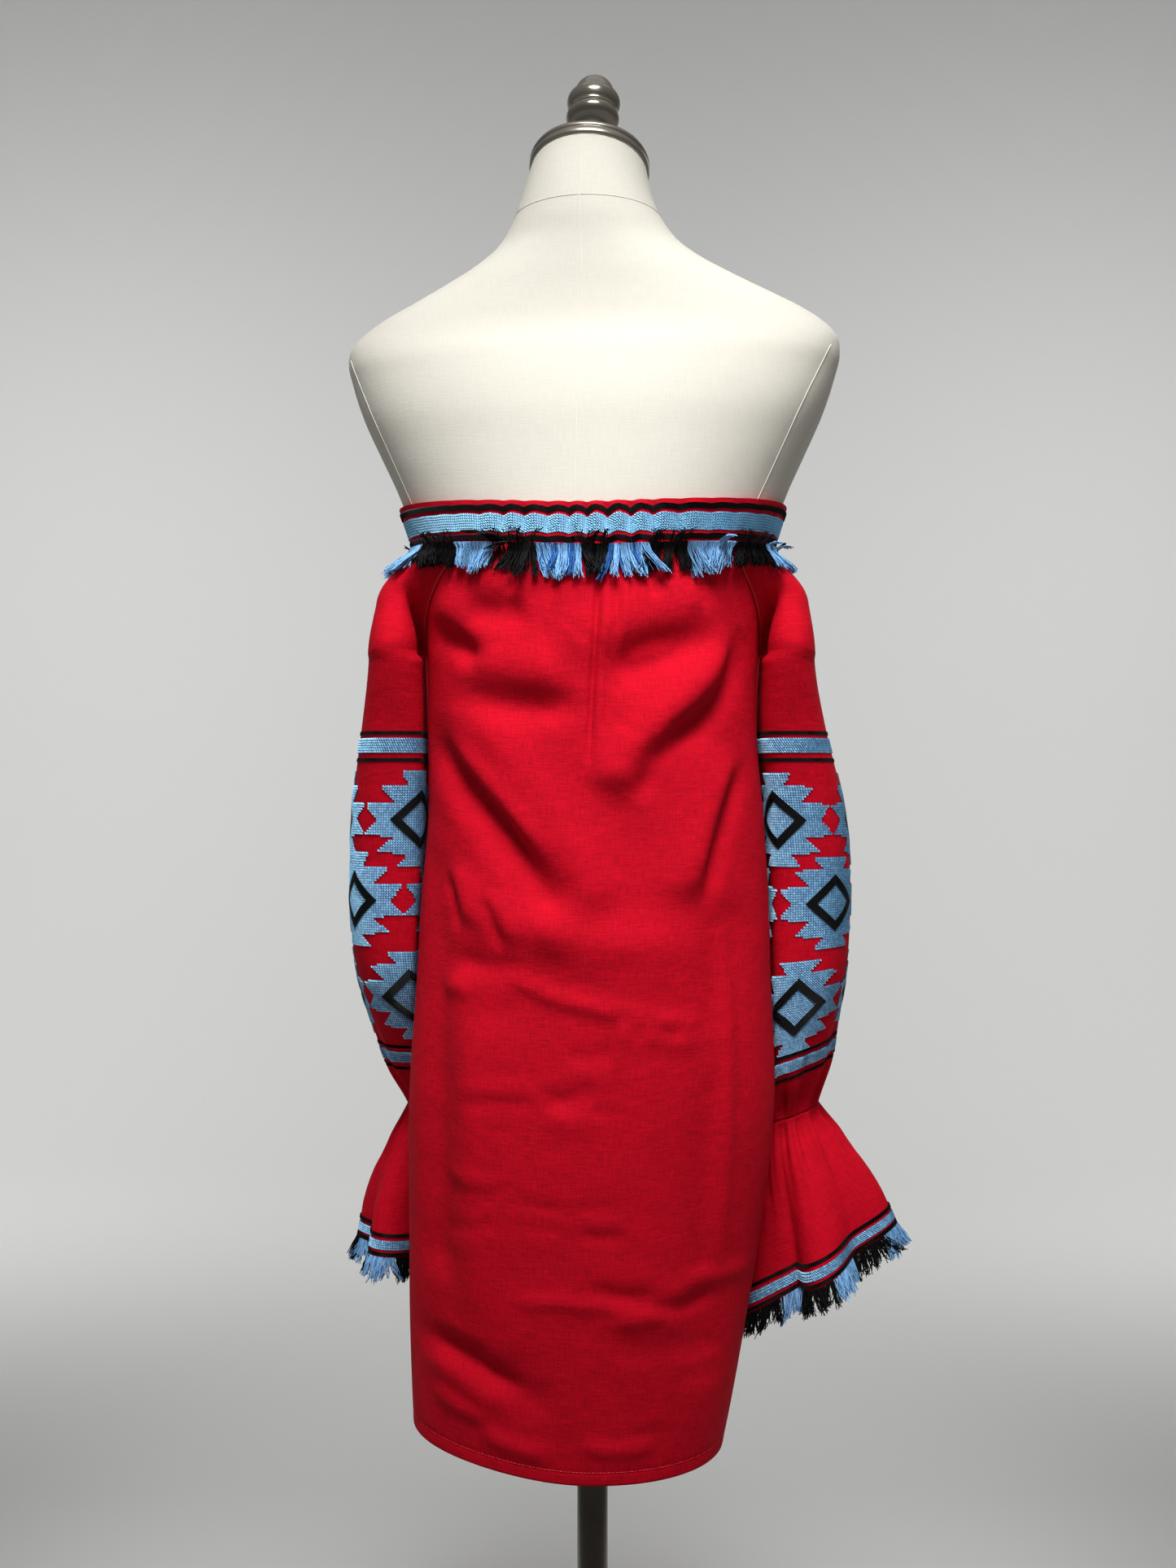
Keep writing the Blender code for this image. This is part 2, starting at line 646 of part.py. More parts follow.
def build_cuff(name, side):
    """The flared cuff below the gathered wrist."""
    turns = [*lock_edges(CUFF_LOCKS), 1.0]
    acrosses = sorted(side * (2 * turn - 1) for turn in turns)
    heights = [WRIST + (CUFF_HEM - WRIST) * i / CUFF_ROWS for i in range(CUFF_ROWS + 1)]
    grid = [[tube_point(side, across, height) for across in acrosses] for height in heights]
    if side < 0:
        grid = [list(reversed(row)) for row in grid]
    cloth_object(name, loft(name, grid, False))


def band_section(angle):
    """The band's closed section: a plain inside, and two raised cords outside."""
    top, foot = band_top(angle), band_foot(angle)
    facing = math.cos(math.radians(angle)) ** 2
    pucker = PUCKER_RISE * facing * math.cos(math.radians(PUCKERS * angle))
    outer = BAND_OFF_FORM + BAND_WALL + PUCKER_RISE + pucker
    section = [(BAND_OFF_FORM, foot), (BAND_OFF_FORM, (top + foot) / 2), (BAND_OFF_FORM, top), (outer, top)]
    for middle in (top - CORD_INSET, foot + CORD_INSET):
        section.append((outer, middle + CORD_HALF))
        section.append((outer + CORD_RISE, middle))
        section.append((outer, middle - CORD_HALF))
    section.append((outer, foot))
    return [polar(angle, form_radius(angle, height) + off, height) for off, height in section]


def build_band():
    """The elasticated neckline band, all round."""
    sections = [band_section(-360 * i / BAND_COLUMNS) for i in range(BAND_COLUMNS)]
    mesh = loft("neck_band", [*sections, sections[0]], True)
    add_object("neck_band", mesh, "band_blue")


def fringe_mesh(name, locks, place, seed):
    """A strip all round, and locks whose roots are fused into its lower edge.

    place(turn, depth, level) is a point: turn from 0 to 1 round the strip, depth 0 on the outer
    face and 1 on the inner, level 0 and 1 at the strip's top and foot, up to 3 at a lock's tip.
    """
    dice = random.Random(seed)
    maker = bmesh.new()

    def corners(turn, level):
        return [maker.verts.new(place(turn, depth, level)) for depth in (0, 1)]

    edges = [corners(turn, 0) + corners(turn, 1) for turn in lock_edges(locks)]
    for i, first in enumerate(edges):
        after = edges[(i + 1) % len(edges)]
        maker.faces.new((first[0], first[2], after[2], after[0]))
        maker.faces.new((first[1], after[1], after[3], first[3]))
        maker.faces.new((first[0], after[0], after[1], first[1]))
        root = (first[2], first[3], after[3], after[2])
        if i % 2:
            maker.faces.new(root)
            continue
        middle = (i // 2 + LOCK_SHARE / 2) / locks
        sway = dice.uniform(-0.3, 0.3) / locks
        length = dice.uniform(-0.25, 0.25)
        for level, width in ((2.0, 0.92), (3.0 + length, 0.45)):
            half = LOCK_SHARE / 2 / locks * width
            shift = sway * (level - 1) / 2
            ends = [corners(middle - half + shift, level), corners(middle + half + shift, level)]
            ring = (ends[0][0], ends[0][1], ends[1][1], ends[1][0])
            for a in range(4):
                b = (a + 1) % 4
                maker.faces.new((root[a], ring[a], ring[b], root[b]))
            root = ring
        maker.faces.new(root)
    bmesh.ops.recalc_face_normals(maker, faces=maker.faces)
    mesh = bpy.data.meshes.new(name)
    maker.to_mesh(mesh)
    maker.free()
    return mesh


def neck_fringe_place(turn, depth, level):
    """Where the neckline's fringe lies: under the band and over the cloth below it."""
    angle = 360 * turn
    sideways = math.sin(math.radians(angle)) ** 2
    drop = NECK_LOCK_DROP_BACK + (NECK_LOCK_DROP_SIDE - NECK_LOCK_DROP_BACK) * sideways**2
    below = [0.0, STRIP_HEIGHT, STRIP_HEIGHT + drop * 0.45, STRIP_HEIGHT + drop]
    step = min(int(level), 2)
    height = cloth_top(angle) - (below[step] + (below[step + 1] - below[step]) * (level - step))
    lift = [0.0010, 0.0012, 0.0050, 0.0065]
    off = lift[step] + (lift[step + 1] - lift[step]) * (level - step)
    return polar(angle, cap_skin(angle, height) + off + STRIP_WALL * (1 - depth), height)


def lock_edges(locks):
    """Both edges of every lock, as shares of the way round from 0 to 1."""
    return [(i + edge) / locks for i in range(locks) for edge in (0.0, LOCK_SHARE)]


def cuff_fringe_place(side, turn, depth, level):
    """Where a cuff's fringe lies: on from the cuff's edge, in line with its flare."""
    across = side * (2 * turn - 1)
    below = [CUFF_GAP, STRIP_HEIGHT, STRIP_HEIGHT + CUFF_LOCK_LENGTH / 2, STRIP_HEIGHT + CUFF_LOCK_LENGTH]
    step = min(int(level), 2)
    drop = below[step] + (below[step + 1] - below[step]) * (level - step)
    outer = np.array(tube_point(side, across, CUFF_HEM - drop))
    ahead = np.array(tube_point(side, across + 0.03, CUFF_HEM))
    behind = np.array(tube_point(side, across - 0.03, CUFF_HEM))
    down = np.array(tube_point(side, across, CUFF_HEM - 0.005)) - tube_point(side, across, CUFF_HEM)
    inward = side * np.cross(ahead - behind, down)
    return tuple(outer + inward / float(np.linalg.norm(inward)) * depth * STRIP_WALL)


def build_fringes():
    """One node for the neckline's fringe and one for each cuff's."""
    add_object("neck_fringe", fringe_mesh("neck_fringe", NECK_LOCKS, neck_fringe_place, 3), "fringe_yarn")
    for side, word in ((-1, "left"), (1, "right")):
        name = f"cuff_fringe_{word}"

        def place(turn, depth, level, side=side):
            return cuff_fringe_place(side, turn, depth, level)

        add_object(name, fringe_mesh(name, CUFF_LOCKS, place, 5 + side), "fringe_yarn")


def main():
    for old in list(bpy.data.objects):
        bpy.data.objects.remove(old)
    parts = bpy.data.collections.new("embroidered_dress")
    bpy.context.scene.collection.children.link(parts)
    build_stand()
    build_form()
    build_panel("back_panel", 0, BACK_COLUMNS, BACK_ROWS, 0.15)
    build_panel("front_panel", 180, FRONT_COLUMNS, FRONT_ROWS, 0.0)
    for side, word in ((-1, "left"), (1, "right")):
        build_sleeve(f"sleeve_{word}", side)
        build_cuff(f"cuff_{word}", side)
    build_band()
    build_fringes()


main()
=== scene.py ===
"""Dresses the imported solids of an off-shoulder linen dress on its dress form.

Metres, +Z up. The back of the dress faces -Y and the camera. An angle round the dress is measured
in degrees from the middle of its back, towards +X. The dress's own left is at -X.
"""

import math
from collections import namedtuple

import bpy
import mathutils
import numpy as np
from bpy.props import FloatProperty, FloatVectorProperty, PointerProperty
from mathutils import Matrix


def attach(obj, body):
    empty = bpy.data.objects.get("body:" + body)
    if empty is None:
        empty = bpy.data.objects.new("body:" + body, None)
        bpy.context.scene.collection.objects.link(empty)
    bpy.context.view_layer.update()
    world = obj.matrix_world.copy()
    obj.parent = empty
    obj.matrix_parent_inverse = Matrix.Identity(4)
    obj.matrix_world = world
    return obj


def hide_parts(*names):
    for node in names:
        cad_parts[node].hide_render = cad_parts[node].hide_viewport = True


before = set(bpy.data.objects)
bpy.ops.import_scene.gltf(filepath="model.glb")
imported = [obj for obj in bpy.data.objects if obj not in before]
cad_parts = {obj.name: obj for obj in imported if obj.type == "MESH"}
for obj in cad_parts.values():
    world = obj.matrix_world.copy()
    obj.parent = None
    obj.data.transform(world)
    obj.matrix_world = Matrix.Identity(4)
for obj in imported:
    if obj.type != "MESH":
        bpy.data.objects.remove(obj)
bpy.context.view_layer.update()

bl_info = {
    "name": "Embroidered dress on its form",
    "version": (1, 0, 0),
    "blender": (4, 5, 0),
    "location": "3D View > Sidebar > Dress",
    "description": "Builds the cloth, embroidery, fringe, form and stand over the packed solids",
    "category": "Object",
}

BODY = "root"
SIDES = {-1: "left", 1: "right"}

# Stand and form
FOOT_RADIUS = 0.165
FOOT_EDGE = 0.010
FOOT_CROWN = 0.018
HUB_RADIUS = 0.028
HUB_TOP = 0.034
POLE_RADIUS = 0.0125
COLLAR_RADIUS = 0.036
COLLAR_HEIGHT = 0.012
FORM_TURN = -8.0
NECK_TILT = 23.0
NECK_CENTRE_Y = 0.030
NECK_TOP = 1.569
NECK_SHIFT = -0.007
NECK_SHIFT_FROM = 1.450
NECK_RADIUS = 0.0485
NECK_SEAM = 1.522
BACK_SEAM_TOP = 1.562
SHOULDER_SEAM_TOP = 1.405
FORM_SEAMS_FOOT = 1.200
FORM_SEAM_RADIUS = 0.00055
FORM_SEAM_SINK = -0.0001
CAP_RADIUS = 0.0503
CAP_HEIGHT = 0.014
TURN_STEPS = 96

# Gaps between pieces
SEAM_GAP = 0.0003
PANEL_GAP = 0.0006
BAND_OFF_FORM = 0.0009
CLOTH_OFF_FORM = 0.0022
SLEEVE_OFF_DRESS = 0.0022
PRESS_SOFTNESS = 0.0025
TOUCH_SOFTNESS = 0.0005
STITCH_LIFT = 0.0001

# The dress's heights and seams
BAND_TOP = 1.2755
BAND_HEIGHT = 0.034
BAND_SIDE_RISE = 0.008
UNDERARM = 1.165
HEM = 0.526
HEM_RISE_LEFT = 0.020
HEM_RISE_RIGHT = 0.004
HEM_RISE_FRONT = 0.012
HEM_LINE = 0.010
HEM_GROOVE = 0.0007
HEM_FROM = 0.982
RAGLAN_TOP_ANGLE = 52.0
SIDE_SEAM_ANGLE = 90.0
WRIST = 0.782
CUFF_HEM = 0.654
CAP_BULGE = 0.034
CAP_FULL_AT = 0.50
LOOP_STARTS_AT = 0.14
SLEEVE_POWER = 2.8
SQUARES_FROM = 0.80
SQUARES_OVER = 0.12
SEAM_PULL_LENGTH = 0.08
SEAM_SHARPNESS = 3
SEAM_RADIUS = 0.0013
SEAM_SINKS_OVER = 0.07
GATHERS = 12
GATHER_RISE = 0.0022
GATHER_REACH = 0.018
FINE_GATHERS = 31
FINE_GATHER_RISE = 0.0011
FLUTES = 5
FLUTE_RISE = 0.0105
FLUTE_PHASE = {-1: 236.0, 1: 128.0}
CUFF_CREASE_AT = {-1: -0.46, 1: -0.62}
CUFF_CREASE_DEPTH = {-1: 0.004, 1: 0.011}
CUFF_CREASE_WIDTH = 0.045
CUFF_STRIP_ROWS = 4
CUFF_STRIP_RISE = 0.0080
CUFF_CORD_RISES = (0.0035, 0.0195)
CUFF_LEVELS = (0.70, 0.64)
SLEEVE_LEVELS = (1.12, 0.79)
GATHERS_FROM = 0.83
BAND_WALL = 0.0024
PUCKER_RISE = 0.0013
GATHERS_ROUND = 41
GATHER_WAVER = 0.0023
BAND_REACH = 0.138
BAND_STEPS = 721

# The form's level sections. power shapes an oval, 2 for an ellipse and more for a squarer one.
FormRing = namedtuple("FormRing", "height half_width half_depth centre_y power tilt")
FORM = [
    FormRing(0.800, 0.126, 0.094, 0.000, 2.1, 0),
    FormRing(0.806, 0.135, 0.102, 0.000, 2.1, 0),
    FormRing(0.825, 0.140, 0.107, 0.000, 2.1, 0),
    FormRing(0.860, 0.141, 0.107, 0.000, 2.1, 0),
    FormRing(0.900, 0.137, 0.102, 0.000, 2.1, 0),
    FormRing(0.960, 0.125, 0.092, 0.000, 2.1, 0),
    FormRing(1.030, 0.113, 0.083, 0.000, 2.1, 0),
    FormRing(1.100, 0.117, 0.089, 0.002, 2.1, 0),
    FormRing(1.160, 0.125, 0.103, 0.005, 2.1, 0),
    FormRing(1.200, 0.131, 0.110, 0.009, 2.2, 0),
    FormRing(1.240, 0.1400, 0.1075, 0.007, 2.3, 0),
    FormRing(1.2585, 0.1450, 0.1050, 0.004, 2.3, 0),
    FormRing(1.277, 0.1510, 0.1020, 0.002, 2.4, 0),
    FormRing(1.298, 0.1590, 0.0980, 0.000, 2.5, 0),
    FormRing(1.326, 0.1720, 0.0930, -0.002, 2.6, 0),
    FormRing(1.358, 0.1865, 0.0870, -0.004, 2.7, 0),
    FormRing(1.386, 0.1960, 0.0790, -0.005, 2.7, 0),
    FormRing(1.404, 0.2003, 0.0715, -0.006, 2.7, 0),
    FormRing(1.417, 0.1985, 0.0655, -0.006, 2.6, 0),
    FormRing(1.427, 0.1900, 0.0620, -0.006, 2.5, 0),
    FormRing(1.439, 0.1735, 0.0590, -0.006, 2.4, 0),
    FormRing(1.453, 0.1480, 0.0570, -0.005, 2.3, 0),
    FormRing(1.468, 0.1205, 0.0552, -0.004, 2.2, 0),
    FormRing(1.483, 0.0955, 0.0540, -0.002, 2.1, 0),
    FormRing(1.498, 0.0765, 0.0530, 0.000, 2.0, 1),
    FormRing(1.514, 0.0645, 0.0525, 0.002, 2.0, 4),
    FormRing(1.532, 0.0570, 0.0520, 0.008, 2.0, 10),
    FormRing(1.551, 0.0522, 0.0510, 0.018, 2.0, 17),
    FormRing(NECK_TOP, NECK_RADIUS, NECK_RADIUS, NECK_CENTRE_Y, 2.0, NECK_TILT),
]

# How the body of the dress hangs. Each row has a height, how far the dress reaches there to its
# left, right, back and front, and the power of the oval.
HANG = [
    (0.500, 0.1435, 0.1000, 0.101, 0.094, 2.3),
    (0.569, 0.1467, 0.1140, 0.105, 0.098, 2.3),
    (0.636, 0.1487, 0.1260, 0.109, 0.102, 2.3),
    (0.702, 0.1490, 0.1370, 0.112, 0.106, 2.3),
    (0.809, 0.1490, 0.1480, 0.115, 0.112, 2.3),
    (0.900, 0.1430, 0.1450, 0.112, 0.115, 2.25),
    (0.969, 0.1390, 0.1430, 0.109, 0.117, 2.2),
    (1.036, 0.1335, 0.1390, 0.107, 0.119, 2.2),
    (1.102, 0.1340, 0.1335, 0.107, 0.122, 2.2),
    (1.165, 0.1345, 0.1345, 0.107, 0.124, 2.2),
    (1.200, 0.1370, 0.1370, 0.1065, 0.124, 2.2),
    (1.250, 0.1430, 0.1430, 0.105, 0.117, 2.2),
]

# The level sections of each sleeve and its cuff. Each row has a height, the section's centre x
# and y, its half width and half depth, and a tilt, which lifts its outer side.
SLEEVES = {
    -1: [
        (0.630, -0.151, 0.109, 0.053, 0.050, 0.10),
        (0.660, -0.149, 0.107, 0.051, 0.048, 0.10),
        (0.690, -0.148, 0.106, 0.050, 0.046, 0.08),
        (0.720, -0.143, 0.104, 0.047, 0.042, 0.06),
        (0.750, -0.138, 0.101, 0.037, 0.035, 0.04),
        (0.782, -0.136, 0.099, 0.025, 0.027, 0.02),
        (0.815, -0.142, 0.094, 0.034, 0.045, 0.00),
        (0.860, -0.152, 0.083, 0.038, 0.060, 0.00),
        (0.900, -0.160, 0.073, 0.039, 0.069, 0.00),
        (0.950, -0.164, 0.065, 0.0395, 0.072, 0.00),
        (1.000, -0.163, 0.058, 0.0395, 0.073, 0.00),
        (1.050, -0.161, 0.049, 0.0380, 0.073, 0.00),
        (1.100, -0.158, 0.037, 0.0335, 0.074, 0.00),
        (1.165, -0.156, 0.014, 0.0265, 0.079, 0.00),
        (1.215, -0.151, 0.004, 0.0320, 0.084, 0.00),
    ],
    1: [
        (0.630, 0.189, 0.050, 0.062, 0.062, 0.62),
        (0.660, 0.186, 0.050, 0.059, 0.058, 0.56),
        (0.690, 0.182, 0.051, 0.056, 0.052, 0.50),
        (0.720, 0.176, 0.053, 0.050, 0.045, 0.44),
        (0.750, 0.169, 0.055, 0.040, 0.037, 0.38),
        (0.782, 0.165, 0.056, 0.027, 0.028, 0.34),
        (0.815, 0.166, 0.056, 0.036, 0.046, 0.38),
        (0.860, 0.169, 0.056, 0.039, 0.061, 0.28),
        (0.900, 0.173, 0.056, 0.040, 0.069, 0.16),
        (0.950, 0.1755, 0.055, 0.040, 0.072, 0.06),
        (1.000, 0.1745, 0.052, 0.040, 0.073, 0.00),
        (1.050, 0.169, 0.046, 0.0385, 0.073, 0.00),
        (1.100, 0.160, 0.036, 0.0340, 0.074, 0.00),
        (1.165, 0.155, 0.014, 0.0260, 0.079, 0.00),
        (1.215, 0.151, 0.004, 0.0320, 0.084, 0.00),
    ],
}

# Folds of the body, each along a line from its top to its foot. rise is outwards.
Fold = namedtuple("Fold", "top_x top_height foot_x foot_height half_width rise")
BACK_FOLDS = [
    Fold(-0.132, 1.095, -0.042, 0.978, 0.0150, -0.0085),
    Fold(-0.088, 1.114, -0.002, 0.982, 0.0200, 0.0060),
    Fold(-0.118, 1.060, -0.030, 0.950, 0.0140, 0.0045),
    Fold(0.090, 1.160, 0.022, 1.070, 0.0190, 0.0080),
    Fold(0.084, 1.075, 0.068, 0.990, 0.0150, 0.0045),
    Fold(0.105, 0.950, 0.085, 0.620, 0.0200, -0.0050),
    Fold(-0.135, 0.630, -0.050, 0.595, 0.0120, -0.0035),
    Fold(-0.127, 0.990, -0.122, 0.700, 0.0140, -0.0060),
    Fold(-0.070, 0.860, -0.060, 0.640, 0.0180, 0.0030),
    Fold(0.030, 0.900, 0.040, 0.660, 0.0200, 0.0030),
]
FRONT_FOLDS = [
    Fold(-0.045, 1.230, -0.050, 0.560, 0.0180, -0.0060),
    Fold(0.000, 1.230, 0.002, 0.620, 0.0200, 0.0050),
    Fold(0.045, 1.230, 0.055, 0.560, 0.0180, -0.0060),
    Fold(-0.098, 1.180, -0.040, 1.020, 0.0120, -0.0035),
    Fold(0.098, 1.170, 0.030, 1.010, 0.0120, -0.0035),
]
FOLD_END = 0.030

# Sharper creases along a curved path of (x, height), charted from left to right. shoulder is the
# share of the rise that stands up again beside it: above it when negative, below it when positive.
Crease = namedtuple("Crease", "half_width rise shoulder path")
BACK_CREASES = [
    Crease(0.0065, -0.0056, -1.0, [
        (-0.129, 1.099), (-0.107, 1.072), (-0.082, 1.044), (-0.057, 1.015), (-0.038, 0.982),
    ]),
    Crease(0.0100, -0.0080, -0.8, [
        (0.046, 1.070), (0.058, 1.093), (0.079, 1.108), (0.099, 1.127), (0.112, 1.160), (0.118, 1.190),
    ]),
    Crease(0.0070, -0.0062, -0.9, [
        (0.086, 0.962), (0.092, 0.998), (0.102, 1.032), (0.112, 1.060), (0.123, 1.086),
    ]),
    Crease(0.0140, -0.0076, -0.8, [
        (-0.112, 1.120), (-0.090, 1.124), (-0.060, 1.121), (-0.032, 1.118), (-0.004, 1.130),
    ]),
    Crease(0.0100, -0.0084, -0.6, [(-0.140, 1.188), (-0.120, 1.178), (-0.098, 1.165), (-0.080, 1.152)]),
    Crease(0.0130, -0.0064, -0.6, [(-0.104, 1.198), (-0.076, 1.188), (-0.048, 1.199)]),
    Crease(0.0150, -0.0095, -0.6, [
        (0.012, 1.128), (0.030, 1.155), (0.060, 1.164), (0.092, 1.168), (0.114, 1.174),
    ]),
    Crease(0.0110, -0.0040, -0.6, [(0.034, 1.046), (0.042, 1.074), (0.050, 1.098)]),
    Crease(0.0028, -0.0042, 0.4, [
        (-0.0040, 1.062), (-0.0012, 1.118), (0.0012, 1.162), (0.0043, 1.211), (0.0060, 1.246),
    ]),
    Crease(0.0026, -0.0020, 0.8, [(0.0170, 1.160), (0.0182, 1.200), (0.0200, 1.246)]),
    Crease(0.0034, -0.0014, 0.6, [(-0.036, 1.192), (-0.029, 1.218), (-0.024, 1.246)]),
    Crease(0.0034, -0.0018, -0.8, [(0.047, 1.196), (0.043, 1.218), (0.040, 1.246)]),
    Crease(0.0042, -0.0018, 0.6, [(-0.070, 1.200), (-0.060, 1.218), (-0.054, 1.246)]),
    Crease(0.0044, -0.0022, -0.8, [(0.087, 1.190), (0.079, 1.214), (0.075, 1.246)]),
    Crease(0.0220, 0.0066, 0.0, [
        (-0.113, 1.016), (-0.080, 0.958), (-0.030, 0.942), (0.040, 0.934), (0.096, 0.944),
    ]),
    Crease(0.0070, 0.0034, 0.0, [
        (-0.088, 0.929), (-0.042, 0.902), (0.008, 0.889), (0.055, 0.881), (0.108, 0.873),
    ]),
    Crease(0.0055, -0.0036, -0.7, [(-0.118, 0.994), (-0.107, 0.972), (-0.102, 0.946)]),
    Crease(0.0055, -0.0030, -0.7, [(-0.084, 0.976), (-0.073, 0.953), (-0.066, 0.932)]),
    Crease(0.0034, -0.0016, 0.8, [(0.009, 0.838), (0.013, 0.862), (0.018, 0.888)]),
    Crease(0.0075, 0.0044, 0.0, [(0.100, 0.980), (0.106, 0.900), (0.104, 0.780), (0.095, 0.640)]),
    Crease(0.0150, 0.0062, 0.0, [(-0.086, 0.600), (-0.088, 0.700), (-0.090, 0.820), (-0.096, 0.930)]),
    Crease(0.0080, -0.0056, 0.9, [(-0.138, 0.634), (-0.105, 0.626), (-0.079, 0.611), (-0.050, 0.594)]),
    Crease(0.0070, 0.0036, 0.0, [(-0.128, 0.592), (-0.100, 0.578), (-0.072, 0.572)]),
    Crease(0.0070, 0.0038, 0.0, [(-0.092, 0.566), (-0.060, 0.553), (-0.026, 0.549)]),
    Crease(0.0060, 0.0030, 0.0, [(-0.016, 0.560), (0.015, 0.551), (0.052, 0.556)]),
    Crease(0.0060, 0.0026, 0.0, [(-0.070, 0.668), (-0.020, 0.667), (0.010, 0.664), (0.044, 0.661)]),
    Crease(0.0060, -0.0024, -0.8, [(0.040, 0.663), (0.070, 0.660), (0.104, 0.669)]),
]
FRONT_CREASES = [
    Crease(0.0050, -0.0030, -0.9, [(-0.120, 1.120), (-0.086, 1.078), (-0.050, 1.036), (-0.024, 1.000)]),
    Crease(0.0050, -0.0030, -0.9, [(0.028, 1.010), (0.060, 1.040), (0.096, 1.090), (0.122, 1.130)]),
    Crease(0.0030, -0.0022, 0.9, [(-0.024, 1.120), (-0.022, 1.180), (-0.020, 1.246)]),
    Crease(0.0030, -0.0020, 0.8, [(0.004, 1.150), (0.003, 1.200), (0.002, 1.246)]),
    Crease(0.0030, -0.0022, -0.9, [(0.030, 1.110), (0.027, 1.180), (0.026, 1.246)]),
    Crease(0.0045, -0.0020, 0.8, [(-0.072, 1.180), (-0.064, 1.214), (-0.060, 1.246)]),
    Crease(0.0045, -0.0020, -0.8, [(0.074, 1.176), (0.066, 1.212), (0.062, 1.246)]),
    Crease(0.0100, -0.0036, -0.7, [(-0.096, 1.150), (-0.060, 1.140), (-0.020, 1.156)]),
    Crease(0.0100, -0.0034, -0.7, [(0.026, 1.130), (0.062, 1.144), (0.098, 1.140)]),
    Crease(0.0060, 0.0026, 0.0, [(-0.110, 0.850), (-0.050, 0.836), (0.020, 0.842), (0.090, 0.830)]),
    Crease(0.0055, -0.0026, 0.9, [(-0.120, 0.680), (-0.060, 0.662), (0.000, 0.654)]),
    Crease(0.0055, -0.0024, -0.8, [(0.010, 0.606), (0.056, 0.612), (0.104, 0.628)]),
]

# Small wrinkles that lie nearly level, scattered over the lower half of each panel.
WRINKLES = 24
WRINKLE_FOOT = 0.560
WRINKLE_TOP = 0.930

# Folds of a sleeve. A place round it is a share across, from -1 at the underarm seam by the back.
SLEEVE_FOLDS = [
    Fold(-0.62, 1.230, -0.70, 1.060, 0.050, -0.0022),
    Fold(-0.42, 1.220, -0.46, 1.120, 0.040, -0.0012),
    Fold(-0.20, 1.230, -0.16, 1.100, 0.060, -0.0010),
    Fold(0.35, 1.220, 0.42, 1.090, 0.050, -0.0018),
    Fold(-0.55, 0.870, -0.42, 0.800, 0.045, -0.0022),
    Fold(-0.24, 0.880, -0.20, 0.800, 0.050, -0.0018),
    Fold(0.10, 0.880, 0.16, 0.800, 0.050, -0.0022),
    Fold(0.46, 0.880, 0.40, 0.800, 0.050, -0.0020),
]

# Embroidery. A quarter of the motif: how far it reaches sideways at each share of its half height.
MOTIF_HEIGHTS = (0.0, 0.32, 0.37, 0.68, 0.745, 0.97, 1.0)
MOTIF_REACHES = (0.76, 1.00, 0.46, 0.74, 0.22, 0.37, 0.35)
MOTIF_HALF_HEIGHT = 0.0385
MOTIFS_ROUND = 4
MOTIF_ROWS = {-1: (1.0320, 0.9660, 0.8855), 1: (1.0316, 0.9635, 0.8798)}
MOTIF_PHASES = {-1: (0.186, 0.342, 0.212), 1: (0.184, 0.304, 0.230)}
RHOMBUS_HALF = (0.0250, 0.0240)
RHOMBUS_STROKE = 0.0064
RHOMBUS_LIFT = 0.0009
CELLS_ROUND = 184
CELL_LIFT = 0.00012
STITCH_WIDTH = 0.52
SATIN_OVERLAP = 1.15
CELL_OVERLAP = 1.04
HEM_STITCH_PITCH = 0.0030
HEM_STITCH_LENGTH = 0.0022
UPPER_STRIP = (1.0965, 1.0850)
LOWER_STRIP = (0.8350, 0.8250)
LINE_GAP = 0.0035
LINE_HEIGHT = 0.0030
BAND_STRIP_FROM = 0.31
BAND_STRIP_OVER = 0.40
BAND_STRIP_ROWS = 7

# Stage. The floor curves up into a backdrop. spread is the angle over which a lamp shines.
FOCAL_PIXELS = 2200
PHOTO_PIXELS = 1927
SENSOR = 36.0
CAMERA_PLACE = (-0.00366, -1.465, 1.0605)
ROOM_LIGHT = 0.15
OVERHEAD_LIGHT = 0.36
SWEEP_FROM = 3.4
SWEEP_RADIUS = 1.6
SWEEP_TOP = 7.0
SWEEP_HALF_WIDTH = 9.0
Lamp = namedtuple("Lamp", "name place aim size power spread")
LAMPS = [
    Lamp("key", (0.02, -0.76, 2.20), (0.0, 0.0, 1.04), 0.6, 2.75, 40),
    Lamp("top", (0.1, 0.2, 3.2), (0.0, 0.0, 1.15), 1.6, 2.0, 180),
    Lamp("rear", (0.6, 2.6, 2.0), (0.0, 0.0, 1.15), 2.0, 5.0, 180),
    Lamp("wash_left", (-2.0, 2.4, 2.2), (-2.0, 5.0, 0.8), 2.0, 38.0, 180),
    Lamp("wash_right", (2.0, 2.4, 2.2), (2.0, 5.0, 0.8), 2.0, 35.0, 180),
]

# Turned outline of the finial, from the axis out, down the outer side and back to the axis.
FINIAL_OUTLINE = [
    (0.0000, 0.0890),
    (0.0080, 0.0872),
    (0.0145, 0.0815),
    (0.0180, 0.0735),
    (0.0190, 0.0690),
    (0.0212, 0.0680),
    (0.0233, 0.0631),
    (0.0224, 0.0575),
    (0.0200, 0.0528),
    (0.0212, 0.0500),
    (0.0232, 0.0459),
    (0.0215, 0.0400),
    (0.0150, 0.0330),
    (0.0128, 0.0230),
    (0.0160, 0.0130),
    (0.0235, 0.0070),
    (0.0240, 0.0000),
]


def size_property(label, about, value):
    """A length that a user may change."""
    return FloatProperty(name=label, description=about, default=value, unit="LENGTH")


def colour_property(label, about, value):
    """A colour that a user may change."""
    return FloatVectorProperty(name=label, description=about, default=value, subtype="COLOR", min=0, max=1)


